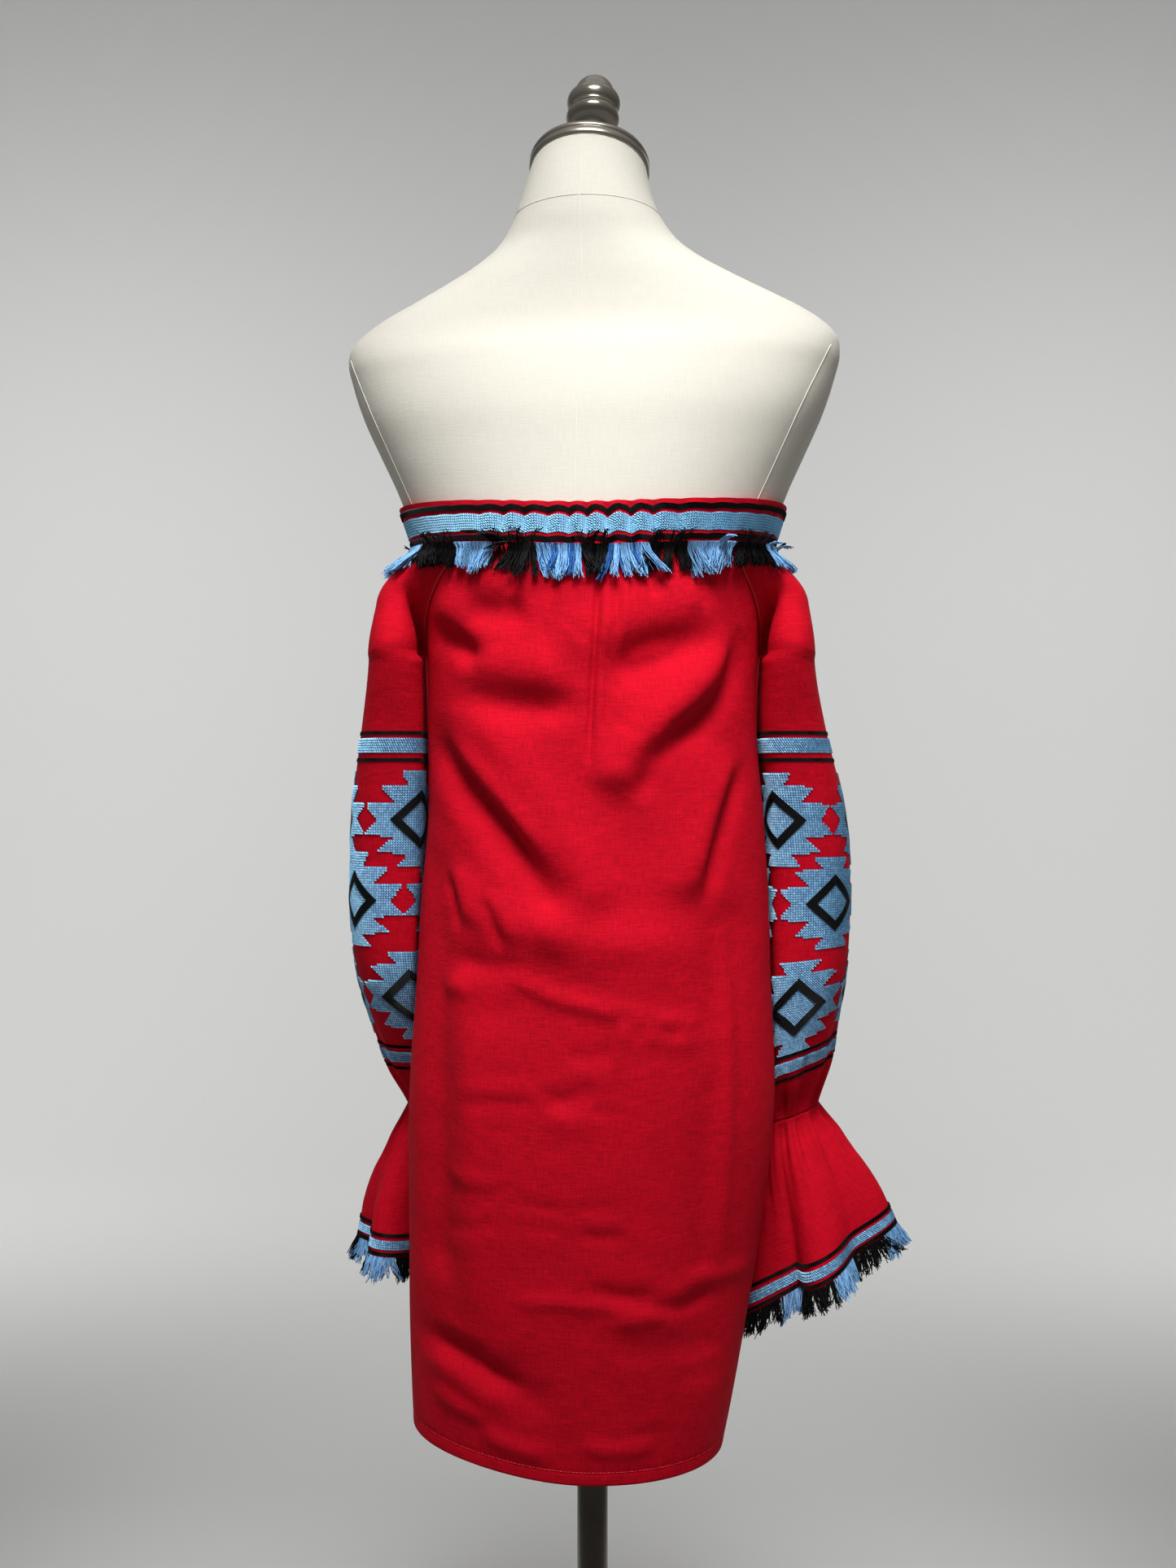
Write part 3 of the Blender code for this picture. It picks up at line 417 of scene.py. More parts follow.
class DressSizes(bpy.types.PropertyGroup):
    """Sizes of the threads and the cloth."""

    stitch_pitch: size_property("Stitch pitch", "Width of one cross stitch", 0.0020)
    stitch_rise: size_property("Stitch rise", "How far a stitch stands off the cloth", 0.0007)
    satin_pitch: size_property("Satin pitch", "Distance between two satin threads", 0.00055)
    yarn_radius: size_property("Yarn radius", "Half the thickness of a fringe strand", 0.00052)
    weave_pitch: size_property("Weave pitch", "Distance between two linen threads", 0.0009)
    cloth_wall: size_property("Cloth wall", "Thickness of the linen as modelled", 0.0010)


class DressColours(bpy.types.PropertyGroup):
    """Colours of the cloth, threads, canvas and metal, and the painted shade between the blue stitches."""

    linen: colour_property("Linen", "The red of the dress", (0.50, 0.0020, 0.0135))
    light_blue: colour_property("Light blue", "Thread of the motifs", (0.28, 0.57, 0.93))
    # This colour is painted shade: the dark of the gaps between the blue stitches, laid on the ground under
    # them and partly on their under threads.
    painted_gap_shade: colour_property("Painted gap shade", "Gaps between the blue stitches", (0.010, 0.040, 0.17))
    royal_blue: colour_property("Royal blue", "Darker fringe yarn", (0.040, 0.17, 0.50))
    black: colour_property("Black", "Thread of the lines and rhombi", (0.0030, 0.0030, 0.0038))
    canvas: colour_property("Canvas", "Covering of the dress form", (0.585, 0.560, 0.492))
    metal: colour_property("Metal", "Cap and finial", (0.34, 0.31, 0.26))
    dark_metal: colour_property("Dark metal", "Pole and foot", (0.060, 0.052, 0.040))


class Nodes:
    """The nodes of one material or one geometry tree, added and linked by short calls."""

    def __init__(self, tree):
        self.tree = tree

    def put(self, socket, value):
        if isinstance(value, bpy.types.NodeSocket):
            self.tree.links.new(value, socket)
        else:
            socket.default_value = value

    def node(self, kind, inputs=None, **settings):
        made = self.tree.nodes.new(kind)
        for key, value in settings.items():
            setattr(made, key, value)
        for key, value in (inputs or {}).items():
            self.put(made.inputs[key], value)
        return made

    def math(self, operation, *values):
        made = self.node("ShaderNodeMath", operation=operation)
        for socket, value in zip(made.inputs, values):
            self.put(socket, value)
        return made.outputs[0]

    def mix(self, share, first, second, blend="MIX"):
        inputs = {0: share, 6: first, 7: second}
        return self.node("ShaderNodeMix", inputs, data_type="RGBA", blend_type=blend).outputs[2]

    def noise(self, vector, scale, detail=3.0, roughness=0.5):
        inputs = {"Vector": vector, "Scale": scale, "Detail": detail, "Roughness": roughness}
        return self.node("ShaderNodeTexNoise", inputs).outputs["Fac"]

    def stretched(self, vector, scale):
        return self.node("ShaderNodeMapping", {"Vector": vector, "Scale": scale}).outputs[0]

    def between(self, value, low, high, new_low=0.0, new_high=1.0):
        inputs = {"Value": value, 1: low, 2: high, 3: new_low, 4: new_high}
        return self.node("ShaderNodeMapRange", inputs).outputs[0]

    def attribute(self, name):
        return self.node("ShaderNodeAttribute", attribute_name=name).outputs["Fac"]


def shade_of(colour, factor):
    """The colour made lighter or darker, with full opacity."""
    return (*(min(1.0, part * factor) for part in colour), 1.0)


def new_finish(name, roughness, metallic=0.0, sheen=0.0):
    """A material, its nodes and its shader. Values that never vary are set on the shader itself."""
    made = bpy.data.materials.new(name)
    made.use_nodes = True
    nodes = Nodes(made.node_tree)
    shader = made.node_tree.nodes["Principled BSDF"]
    shader.inputs["Roughness"].default_value = roughness
    shader.inputs["Metallic"].default_value = metallic
    shader.inputs["Sheen Weight"].default_value = sheen
    shader.inputs["Sheen Roughness"].default_value = 0.45
    return made, nodes, shader


def weave_height(nodes, across, along, pitch):
    """A plain weave: threads that pass over and under each other."""
    turns = 2 * math.pi / pitch
    warp = nodes.math("SINE", nodes.math("MULTIPLY", across, turns))
    weft = nodes.math("SINE", nodes.math("MULTIPLY", along, turns))
    return nodes.math("MULTIPLY_ADD", nodes.math("MULTIPLY", warp, weft), 0.5, 0.5)


def linen_finish(name, colour, pitch):
    """Linen with thicker threads here and there, both ways, and a soft uneven tone."""
    made, nodes, shader = new_finish(name, 0.84, sheen=0.02)
    shader.inputs["Specular IOR Level"].default_value = 0.07
    shader.inputs["Sheen Tint"].default_value = shade_of(colour, 1.6)
    uv = nodes.node("ShaderNodeUVMap", uv_map="cloth").outputs[0]
    split = nodes.node("ShaderNodeSeparateXYZ", {0: uv})
    weave = weave_height(nodes, split.outputs[0], split.outputs[1], pitch)
    weft_slubs = nodes.noise(nodes.stretched(uv, (70.0, 1000.0, 1.0)), 1.0, 2.0)
    warp_slubs = nodes.noise(nodes.stretched(uv, (1000.0, 80.0, 1.0)), 1.0, 2.0)
    slubs = nodes.math("ADD", weft_slubs, warp_slubs)
    clouds = nodes.noise(nodes.stretched(uv, (9.0, 7.0, 1.0)), 1.0, 4.0, 0.6)
    slub_tone = nodes.between(slubs, 0.72, 1.28, -0.34, 0.34)
    tone = nodes.math("ADD", slub_tone, nodes.between(clouds, 0.3, 0.7, -0.10, 0.10))
    tone = nodes.math("ADD", nodes.math("MULTIPLY_ADD", weave, 0.10, 0.45), tone)
    colours = nodes.mix(tone, shade_of(colour, 0.72), shade_of(colour, 1.26))
    nodes.put(shader.inputs["Base Color"], colours)
    height = nodes.math("ADD", weave, nodes.math("MULTIPLY", slubs, 1.2))
    crumple = nodes.noise(nodes.stretched(uv, (20.0, 27.0, 1.0)), 1.0, 4.0, 0.6)
    fine = nodes.node("ShaderNodeBump", {"Height": height, "Distance": 0.00016, "Strength": 0.8})
    coarse = nodes.node("ShaderNodeBump", {"Height": crumple, "Distance": 0.0034, "Strength": 0.6})
    nodes.put(coarse.inputs["Normal"], fine.outputs[0])
    nodes.put(shader.inputs["Normal"], coarse.outputs[0])
    return made


def stitch_finish(name, gap, thread):
    """Stitch yarn: the painted shade of the gaps where the shade attribute is low, the thread's colour where
    it is high, each stitch a little different.
    """
    made, nodes, shader = new_finish(name, 0.50, sheen=0.02)
    shader.inputs["Specular IOR Level"].default_value = 0.22
    shade = nodes.attribute("shade")
    tone = nodes.attribute("tone")
    lit = nodes.mix(tone, shade_of(thread, 0.72), shade_of(thread, 1.32))
    nodes.put(shader.inputs["Base Color"], nodes.mix(shade, shade_of(gap, 1.0), lit))
    return made


def satin_finish(name, thread, roughness):
    """Satin stitch or cord: thread after thread, each a little lighter or darker."""
    made, nodes, shader = new_finish(name, roughness, sheen=0.03)
    shader.inputs["Specular IOR Level"].default_value = 0.30
    tone = nodes.attribute("tone")
    nodes.put(shader.inputs["Base Color"], nodes.mix(tone, shade_of(thread, 0.6), shade_of(thread, 1.7)))
    return made


def yarn_finish(name, colours):
    """Fringe yarn in three colours, which each strand takes from its yarn attribute."""
    made, nodes, shader = new_finish(name, 0.55)
    shader.inputs["Specular IOR Level"].default_value = 0.16
    yarn = nodes.attribute("yarn")
    tone = nodes.attribute("tone")
    black, light, royal = (shade_of(colour, 1.0) for colour in colours)
    chosen = nodes.mix(nodes.math("GREATER_THAN", yarn, 0.5), black, light)
    chosen = nodes.mix(nodes.math("GREATER_THAN", yarn, 1.5), chosen, royal)
    darker = nodes.mix(1.0, chosen, (0.45, 0.50, 0.55, 1.0), "MULTIPLY")
    nodes.put(shader.inputs["Base Color"], nodes.mix(tone, darker, chosen))
    return made


def canvas_finish(name, colour):
    """Fine canvas with slubs and a little yellowing."""
    made, nodes, shader = new_finish(name, 0.88, sheen=0.05)
    place = nodes.node("ShaderNodeTexCoord").outputs["Object"]
    uv = nodes.node("ShaderNodeUVMap", uv_map="cloth").outputs[0]
    split = nodes.node("ShaderNodeSeparateXYZ", {0: uv})
    weave = weave_height(nodes, split.outputs[0], split.outputs[1], 0.0011)
    slubs = nodes.noise(nodes.stretched(uv, (60.0, 1100.0, 1.0)), 1.0, 2.0)
    threads = nodes.noise(nodes.stretched(uv, (1100.0, 70.0, 1.0)), 1.0, 2.0)
    clouds = nodes.noise(place, 9.0, 4.0, 0.6)
    slub_tone = nodes.between(slubs, 0.3, 0.7, 0.30, 0.50)
    tone = nodes.math("ADD", slub_tone, nodes.between(threads, 0.3, 0.7, -0.10, 0.10))
    tone = nodes.math("ADD", tone, nodes.between(clouds, 0.3, 0.7, 0.02, 0.18))
    tone = nodes.math("MULTIPLY_ADD", weave, 0.12, tone)
    cloth = nodes.mix(tone, shade_of(colour, 0.84), shade_of(colour, 1.10))
    nodes.put(shader.inputs["Base Color"], cloth)
    height = nodes.math("ADD", weave, nodes.math("ADD", slubs, threads))
    bump = nodes.node("ShaderNodeBump", {"Height": height, "Distance": 0.0002, "Strength": 0.7})
    nodes.put(shader.inputs["Normal"], bump.outputs[0])
    return made


def metal_finish(name, colour, roughness):
    """Dark plated metal with faint turning marks and duller patches."""
    made, nodes, shader = new_finish(name, roughness, metallic=1.0)
    place = nodes.node("ShaderNodeTexCoord").outputs["Object"]
    marks = nodes.noise(nodes.stretched(place, (6.0, 6.0, 900.0)), 1.0, 2.0)
    patches = nodes.noise(place, 24.0, 3.0)
    nodes.put(shader.inputs["Base Color"], nodes.mix(patches, shade_of(colour, 0.72), shade_of(colour, 1.2)))
    dulled = nodes.math("MULTIPLY_ADD", nodes.math("ADD", marks, patches), 0.16, roughness - 0.12)
    nodes.put(shader.inputs["Roughness"], dulled)
    bump = nodes.node("ShaderNodeBump", {"Height": marks, "Distance": 0.0001, "Strength": 0.25})
    nodes.put(shader.inputs["Normal"], bump.outputs[0])
    return made


FINISHES = {
    "red_linen": lambda c, s: linen_finish("red_linen", c.linen, s.weave_pitch),
    "blue_stitches": lambda c, s: stitch_finish("blue_stitches", c.painted_gap_shade, c.light_blue),
    "black_thread": lambda c, s: satin_finish("black_thread", c.black, 0.50),
    "red_thread": lambda c, s: satin_finish("red_thread", c.linen, 0.55),
    "mixed_yarn": lambda c, s: yarn_finish("mixed_yarn", (c.black, c.light_blue, c.royal_blue)),
    "fine_canvas": lambda c, s: canvas_finish("fine_canvas", c.canvas),
    "canvas_thread": lambda c, s: satin_finish("canvas_thread", c.canvas, 0.8),
    "plated_metal": lambda c, s: metal_finish("plated_metal", c.metal, 0.15),
    "brushed_metal": lambda c, s: metal_finish("brushed_metal", c.metal, 0.26),
    "dark_metal": lambda c, s: metal_finish("dark_metal", c.dark_metal, 0.20),
}


def finish_of(name):
    """The material of this name, made on first use from the scene's colours and sizes."""
    found = bpy.data.materials.get(name)
    scene = bpy.context.scene
    return found or FINISHES[name](scene.dress_colours, scene.dress_sizes)


class SmoothTable:
    """A smooth curve through the rows of a table, read by height for whole arrays."""

    def __init__(self, rows):
        values = np.array(rows, float)
        self.heights = values[:, 0]
        self.values = values[:, 1:]
        self.slopes = np.gradient(self.values, self.heights, axis=0)

    def at(self, height):
        """The columns at these heights. Past either end they go on in a straight line."""
        height = np.asarray(height, float)
        held = np.clip(height, self.heights[0], self.heights[-1])
        below = np.clip(np.searchsorted(self.heights, held) - 1, 0, len(self.heights) - 2)
        span = (self.heights[below + 1] - self.heights[below])[..., None]
        s = (held - self.heights[below])[..., None] / span
        value = (
            self.values[below] * (2 * s**3 - 3 * s**2 + 1)
            + self.values[below + 1] * (3 * s**2 - 2 * s**3)
            + self.slopes[below] * span * (s**3 - 2 * s**2 + s)
            + self.slopes[below + 1] * span * (s**3 - s**2)
        )
        end_slope = np.where((height < held)[..., None], self.slopes[0], self.slopes[-1])
        value = value + end_slope * (height - held)[..., None]
        return np.moveaxis(value, -1, 0)


FORM_TABLE = SmoothTable(FORM)
HANG_TABLE = SmoothTable(HANG)
SLEEVE_TABLES = {side: SmoothTable(rows) for side, rows in SLEEVES.items()}


def smooth_step(share):
    """0 to 1 with level ends, for a share from 0 to 1."""
    share = np.clip(share, 0.0, 1.0)
    return share * share * (3 - 2 * share)


def oval_radius(along_x, along_y, half_width, half_depth, power):
    """Where a ray of this direction leaves an oval."""
    sum_of_powers = np.abs(along_x / half_width) ** power + np.abs(along_y / half_depth) ** power
    return np.maximum(sum_of_powers, 1e-12) ** (-1 / power)


def polar(angle, radius, height):
    """A point at this angle round the dress."""
    turn = np.radians(angle)
    return np.stack(np.broadcast_arrays(radius * np.sin(turn), -radius * np.cos(turn), height), -1)


def form_radius(angle, height):
    """How far the form reaches at this angle, 0 below it."""
    half_width, half_depth, centre_y, power, _ = FORM_TABLE.at(np.maximum(height, FORM[0].height))
    turn = np.radians(angle - FORM_TURN)
    along_x, along_y = np.sin(turn), -np.cos(turn)
    inside = np.zeros(np.broadcast(turn, half_width).shape)
    outside = inside + 0.3
    for _ in range(26):
        middle = (inside + outside) / 2
        within = oval_radius(middle * along_x, middle * along_y - centre_y, half_width, half_depth, power) > 1
        inside = np.where(within, middle, inside)
        outside = np.where(within, outside, middle)
    return np.where(height < FORM[0].height, 0.0, inside)


def fold_rise(x, height, folds):
    """The outward rise of all folds at points of a panel."""
    total = 0.0
    for fold in folds:
        run_x, run_height = fold.foot_x - fold.top_x, fold.foot_height - fold.top_height
        length = math.hypot(run_x, run_height)
        off_x, off_height = x - fold.top_x, height - fold.top_height
        run = (off_x * run_x + off_height * run_height) / length
        aside = (off_x * run_height - off_height * run_x) / length
        ends = smooth_step(run / FOLD_END + 1) * smooth_step((length - run) / FOLD_END + 1)
        total = total + fold.rise * ends * np.exp(-((aside / fold.half_width) ** 2))
    return total


def rounded(outline, times=2):
    """The outline with its corners cut and cut again, its two ends kept."""
    for _ in range(times):
        first, second = outline[:-1], outline[1:]
        cut = [outline[0]]
        for (ax, ay), (bx, by) in zip(first, second):
            cut.append((0.75 * ax + 0.25 * bx, 0.75 * ay + 0.25 * by))
            cut.append((0.25 * ax + 0.75 * bx, 0.25 * ay + 0.75 * by))
        outline = [*cut, outline[-1]]
    return outline


def crease_rise(x, height, crease):
    """The outward rise of one curved crease, which fades towards its two ends."""
    path = np.array(rounded(crease.path))
    steps = np.diff(path, axis=0)
    lengths = np.linalg.norm(steps, axis=1)
    nearest = np.full(x.shape, 9.0)
    aside, share = np.zeros(x.shape), np.zeros(x.shape)
    passed = 0.0
    for start, step, length in zip(path, steps / lengths[:, None], lengths):
        off_x, off_height = x - start[0], height - start[1]
        run = np.clip(off_x * step[0] + off_height * step[1], 0, length)
        gap = np.hypot(off_x - run * step[0], off_height - run * step[1])
        closer = gap < nearest
        nearest = np.where(closer, gap, nearest)
        aside = np.where(closer, np.copysign(gap, off_x * step[1] - off_height * step[0]), aside)
        share = np.where(closer, (passed + run) / lengths.sum(), share)
        passed += length
    ends = smooth_step(share / 0.3) * smooth_step((1 - share) / 0.3)
    beside = math.copysign(2.1 * crease.half_width, crease.shoulder)
    groove = np.exp(-((aside / crease.half_width) ** 2))
    shoulder = np.exp(-(((aside - beside) / (1.5 * crease.half_width)) ** 2))
    return crease.rise * ends * (groove - abs(crease.shoulder) * shoulder)


def small_wrinkles(seed):
    """Short creases that lie nearly level, scattered over the lower half of a panel."""
    dice = np.random.default_rng(seed)
    made = []
    for _ in range(WRINKLES):
        x, height = dice.uniform(-0.125, 0.095), dice.uniform(WRINKLE_FOOT, WRINKLE_TOP)
        run, slope = dice.uniform(0.030, 0.085), dice.normal(0.02, 0.16)
        bend = dice.normal(0, 0.004)
        path = [(x, height), (x + run / 2, height + slope * run / 2 + bend), (x + run, height + slope * run)]
        half_width = dice.uniform(0.0040, 0.0080)
        rise = half_width * dice.choice([-0.30, 0.28]) * dice.uniform(0.5, 1.1)
        made.append(Crease(half_width, rise, dice.choice([-0.6, 0.6]), path))
    return made


class Relief:
    """The folds of one face of the dress, worked out once on a fine grid and read from it."""

    STEP = 0.001
    REACH = 0.170
    FOOT = 0.490
    TOP = 1.270

    def __init__(self, folds, creases):
        xs = np.arange(-self.REACH, self.REACH, self.STEP)
        heights = np.arange(self.FOOT, self.TOP, self.STEP)
        x, height = np.meshgrid(xs, heights)
        self.rise = fold_rise(x, height, folds)
        for crease in creases:
            corners = np.array(crease.path)
            margin = 5 * crease.half_width
            low, high = corners.min(axis=0) - margin, corners.max(axis=0) + margin
            columns = slice(*np.searchsorted(xs, (low[0], high[0])))
            rows = slice(*np.searchsorted(heights, (low[1], high[1])))
            self.rise[rows, columns] += crease_rise(x[rows, columns], height[rows, columns], crease)

    def at(self, x, height):
        row = np.clip((height - self.FOOT) / self.STEP, 0, self.rise.shape[0] - 1.001)
        column = np.clip((x + self.REACH) / self.STEP, 0, self.rise.shape[1] - 1.001)
        row, column = np.broadcast_arrays(row, column)
        r, c = row.astype(int), column.astype(int)
        up, on = row - r, column - c
        low = self.rise[r, c] * (1 - on) + self.rise[r, c + 1] * on
        high = self.rise[r + 1, c] * (1 - on) + self.rise[r + 1, c + 1] * on
        return low * (1 - up) + high * up


BACK_RELIEF = Relief(BACK_FOLDS, BACK_CREASES + small_wrinkles(5))
FRONT_RELIEF = Relief(FRONT_FOLDS, FRONT_CREASES + small_wrinkles(6))


def dress_radius(angle, height):
    """The outer face of the dress's body, which hangs free or lies over the form."""
    left, right, back, front, power = HANG_TABLE.at(height)
    turn = np.radians(angle)
    along_x, along_y = np.sin(turn), -np.cos(turn)
    half_width = np.where(along_x > 0, right, left)
    half_depth = np.where(along_y < 0, back, front)
    hanging = oval_radius(along_x, along_y, half_width, half_depth, power)
    x = hanging * along_x
    rise = np.where(along_y < 0, BACK_RELIEF.at(x, height), FRONT_RELIEF.at(x, height))
    hanging = hanging + rise * smooth_step(2.4 * np.abs(along_y) - 0.4)
    covering = form_radius(angle, height) + CLOTH_OFF_FORM
    middle, half = (hanging + covering) / 2, (hanging - covering) / 2
    return middle + np.sqrt(half**2 + TOUCH_SOFTNESS**2)


def band_top(angle):
    return BAND_TOP + BAND_SIDE_RISE * np.sin(np.radians(angle)) ** 2


def cloth_top(angle):
    return band_top(angle) - BAND_HEIGHT - SEAM_GAP


def hem_height(angle):
    turn = np.radians(angle)
    side_rise = np.where(np.sin(turn) > 0, HEM_RISE_RIGHT, HEM_RISE_LEFT)
    return HEM + side_rise * np.sin(turn) ** 2 + HEM_RISE_FRONT * np.maximum(0.0, -np.cos(turn))


def raglan_angle(share):
    """The angle of the raglan seam, from the band (share 0) to the underarm (share 1)."""
    return RAGLAN_TOP_ANGLE + (SIDE_SEAM_ANGLE - RAGLAN_TOP_ANGLE) * share


def panel_place(facing, across, share_down):
    """The angle and height of points of the back (facing 0) or front (facing 180) panel."""
    nominal = cloth_top(facing) + share_down * (hem_height(facing) - cloth_top(facing))
    cap_share = (cloth_top(facing) - nominal) / (cloth_top(facing) - UNDERARM)
    edge = raglan_angle(np.minimum(cap_share, 1.0))
    edge = edge - np.degrees(PANEL_GAP / 2 / HANG_TABLE.at(nominal)[0])
    angle = facing + across * edge
    above = cloth_top(angle) + cap_share * (UNDERARM - cloth_top(angle))
    down = (nominal - UNDERARM) / (hem_height(facing) - UNDERARM)
    below = UNDERARM + down * (hem_height(angle) - UNDERARM)
    return angle, np.where(cap_share <= 1.0, above, below)


def body_point(angle, height):
    return polar(angle, dress_radius(angle, height), height)


def loop_point(side, across, height):
    """A point of a sleeve's closed section. across runs from -1 at the underarm seam, past the
    back, 0 at the outer side and the front, to 1 at the seam again."""
    centre_x, centre_y, half_width, half_depth, tilt = SLEEVE_TABLES[side].at(height)
    turn = np.pi * across
    along_x, along_y = np.cos(turn), np.sin(turn)
    power = 2 + (SLEEVE_POWER - 2) * smooth_step((height - SQUARES_FROM) / SQUARES_OVER)
    radius = oval_radius(along_x, along_y, half_width, half_depth, power)
    from_wrist = np.abs(height - WRIST) / GATHER_REACH
    gathering = from_wrist * np.exp(1 - from_wrist)
    radius = radius + GATHER_RISE * gathering * np.cos(GATHERS * turn)
    radius = radius + FINE_GATHER_RISE * gathering * np.cos(FINE_GATHERS * turn + 2.0 * np.sin(3 * turn))
    flare = np.maximum(0.0, (WRIST - height) / (WRIST - CUFF_HEM)) ** 1.3
    radius = radius + FLUTE_RISE * flare * np.cos(FLUTES * (turn - math.radians(FLUTE_PHASE[side])))
    crease = np.exp(-(((across - CUFF_CREASE_AT[side]) / CUFF_CREASE_WIDTH) ** 2))
    radius = radius - CUFF_CREASE_DEPTH[side] * np.minimum(flare, 1.0) * crease
    radius = radius + fold_rise(across * 0.2, height, SLEEVE_FOLDS_ROUND)
    x = centre_x + side * radius * along_x
    y = centre_y + radius * along_y
    return x, y, height + tilt * side * (x - centre_x)


SLEEVE_FOLDS_ROUND = [
    fold._replace(top_x=fold.top_x * 0.2, foot_x=fold.foot_x * 0.2, half_width=fold.half_width * 0.2)
    for fold in SLEEVE_FOLDS
]


def off_dress(x, y, height, clearance):
    """The points moved out softly, where they would lie in the body of the dress."""
    angle = np.degrees(np.arctan2(x, -y))
    least = dress_radius(angle, height) + clearance
    radius = np.hypot(x, y)
    middle, half = (radius + least) / 2, (radius - least) / 2
    return polar(angle, middle + np.sqrt(half**2 + PRESS_SOFTNESS**2), height)


def cap_skin(angle, height):
    """The outer face of the dress near the band, with the sleeve caps over its sides."""
    from_back = np.abs((angle + 180) % 360 - 180)
    top = cloth_top(angle)
    share = np.clip((top - height) / (top - UNDERARM), 0.0, 1.0)
    half_span = SIDE_SEAM_ANGLE - raglan_angle(share)
    across = (from_back - SIDE_SEAM_ANGLE) / np.maximum(half_span, 1.0)
    rise = np.sin(np.minimum(share / CAP_FULL_AT, 1.0) * math.pi / 2)
    return dress_radius(angle, height) + CAP_BULGE * rise * np.maximum(0.0, 1 - across**2)


def cap_point(side, across, share):
    """A point of a sleeve above the underarm. Its edges follow the raglan seams."""
    half_span = SIDE_SEAM_ANGLE - raglan_angle(share)
    edge_gap = math.degrees(SEAM_GAP / float(HANG_TABLE.at(UNDERARM)[0]))
    angle = side * (SIDE_SEAM_ANGLE + across * np.maximum(half_span - edge_gap, 0.0))
    top = cloth_top(angle)
    height = top + share * (UNDERARM - top)
    edge_of_cap = dress_radius(angle, height) + SLEEVE_OFF_DRESS * smooth_step(share)
    rise = np.sin(np.minimum(share / CAP_FULL_AT, 1.0) * math.pi / 2)
    arc = polar(angle, edge_of_cap + CAP_BULGE * rise * (1 - across**2), height)
    x, y, _ = loop_point(side, across, height)
    loop = off_dress(x, y, height, SLEEVE_OFF_DRESS)
    off_seam = 1 - np.abs(across) ** SEAM_SHARPNESS
    weight = (smooth_step((share - LOOP_STARTS_AT) / (1 - LOOP_STARTS_AT)) * off_seam)[..., None]
    return arc * (1 - weight) + loop * weight


def tube_point(side, across, height):
    """A point of a sleeve or cuff below the underarm."""
    across, height = np.broadcast_arrays(np.asarray(across, float), np.asarray(height, float))
    loop = np.stack(loop_point(side, across, height), -1)
    pull = np.maximum(0.0, 1 - (UNDERARM - height) / SEAM_PULL_LENGTH) * np.abs(across) ** SEAM_SHARPNESS
    seam_angle = side * SIDE_SEAM_ANGLE
    at_seam = polar(seam_angle, dress_radius(seam_angle, height) + SLEEVE_OFF_DRESS, height)
    pulled = loop * (1 - pull[..., None]) + at_seam * pull[..., None]
    return off_dress(pulled[..., 0], pulled[..., 1], pulled[..., 2], SLEEVE_OFF_DRESS)


def link(made):
    bpy.context.scene.collection.objects.link(made)
    return made


def finished(made, finish, nodes=()):
    """Gives a piece its material and slot, and lets it ride and stand for its solids."""
    made.data.materials.clear()
    made.data.materials.append(finish_of(finish))
    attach(made, BODY)
    if nodes:
        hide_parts(*nodes)
    return made


def arc_lengths(points):
    """How far along a row of points each one lies."""
    steps = np.linalg.norm(np.diff(points, axis=-2), axis=-1)
    return np.concatenate([np.zeros((*steps.shape[:-1], 1)), np.cumsum(steps, axis=-1)], axis=-1)


def grid_object(name, points, outward=True):
    """A smooth sheet through a grid of points (rows, columns, 3), with a UV map in metres.

    Rows whose two ends meet are closed.
    """
    rows, columns = points.shape[:2]
    index = np.arange(rows * columns).reshape(rows, columns)
    met = np.linalg.norm(points[:, 0] - points[:, -1], axis=-1) < 1e-5
    shared = index.copy()
    shared[met, -1] = index[met, 0]
    corners = [shared[:-1, :-1], shared[1:, :-1], shared[1:, 1:], shared[:-1, 1:]]
    uv_corners = [index[:-1, :-1], index[1:, :-1], index[1:, 1:], index[:-1, 1:]]
    if not outward:
        corners, uv_corners = corners[::-1], uv_corners[::-1]
    faces = np.stack(corners, -1).reshape(-1, 4)
    uv_faces = np.stack(uv_corners, -1).reshape(-1)
    used, compact = np.unique(faces, return_inverse=True)
    mesh = bpy.data.meshes.new(name)
    mesh.from_pydata(points.reshape(-1, 3)[used].tolist(), [], compact.reshape(-1, 4).tolist())
    across = arc_lengths(points)
    across = across - across[:, columns // 2][:, None]
    down = arc_lengths(np.swapaxes(points, 0, 1)).mean(axis=0)
    uv = np.stack(np.broadcast_arrays(across, -down[:, None]), -1).reshape(-1, 2)
    layer = mesh.uv_layers.new(name="cloth")
    layer.data.foreach_set("uv", uv[uv_faces].astype(np.float32).ravel())
    mesh.shade_smooth()
    return link(bpy.data.objects.new(name, mesh))


def declare_sheet(points):
    """Works out a cloth's longest row and its longest column, rounded up to the millimetre, and keeps
    neither.
    """
    width = float(arc_lengths(points)[:, -1].max())
    length = float(arc_lengths(np.swapaxes(points, 0, 1))[:, -1].max())
    width, length = round(width + 0.0005, 3), round(length + 0.0005, 3)


def linen_piece(name, points, node, outward=True):
    """A cut piece of linen through these points, with its wall inwards from the face that shows."""
    made = grid_object(name, points, outward)
    wall = made.modifiers.new("wall", "SOLIDIFY")
    wall.thickness = bpy.context.scene.dress_sizes.cloth_wall
    wall.offset = -1
    finished(made, "red_linen", [node])
    declare_sheet(points)


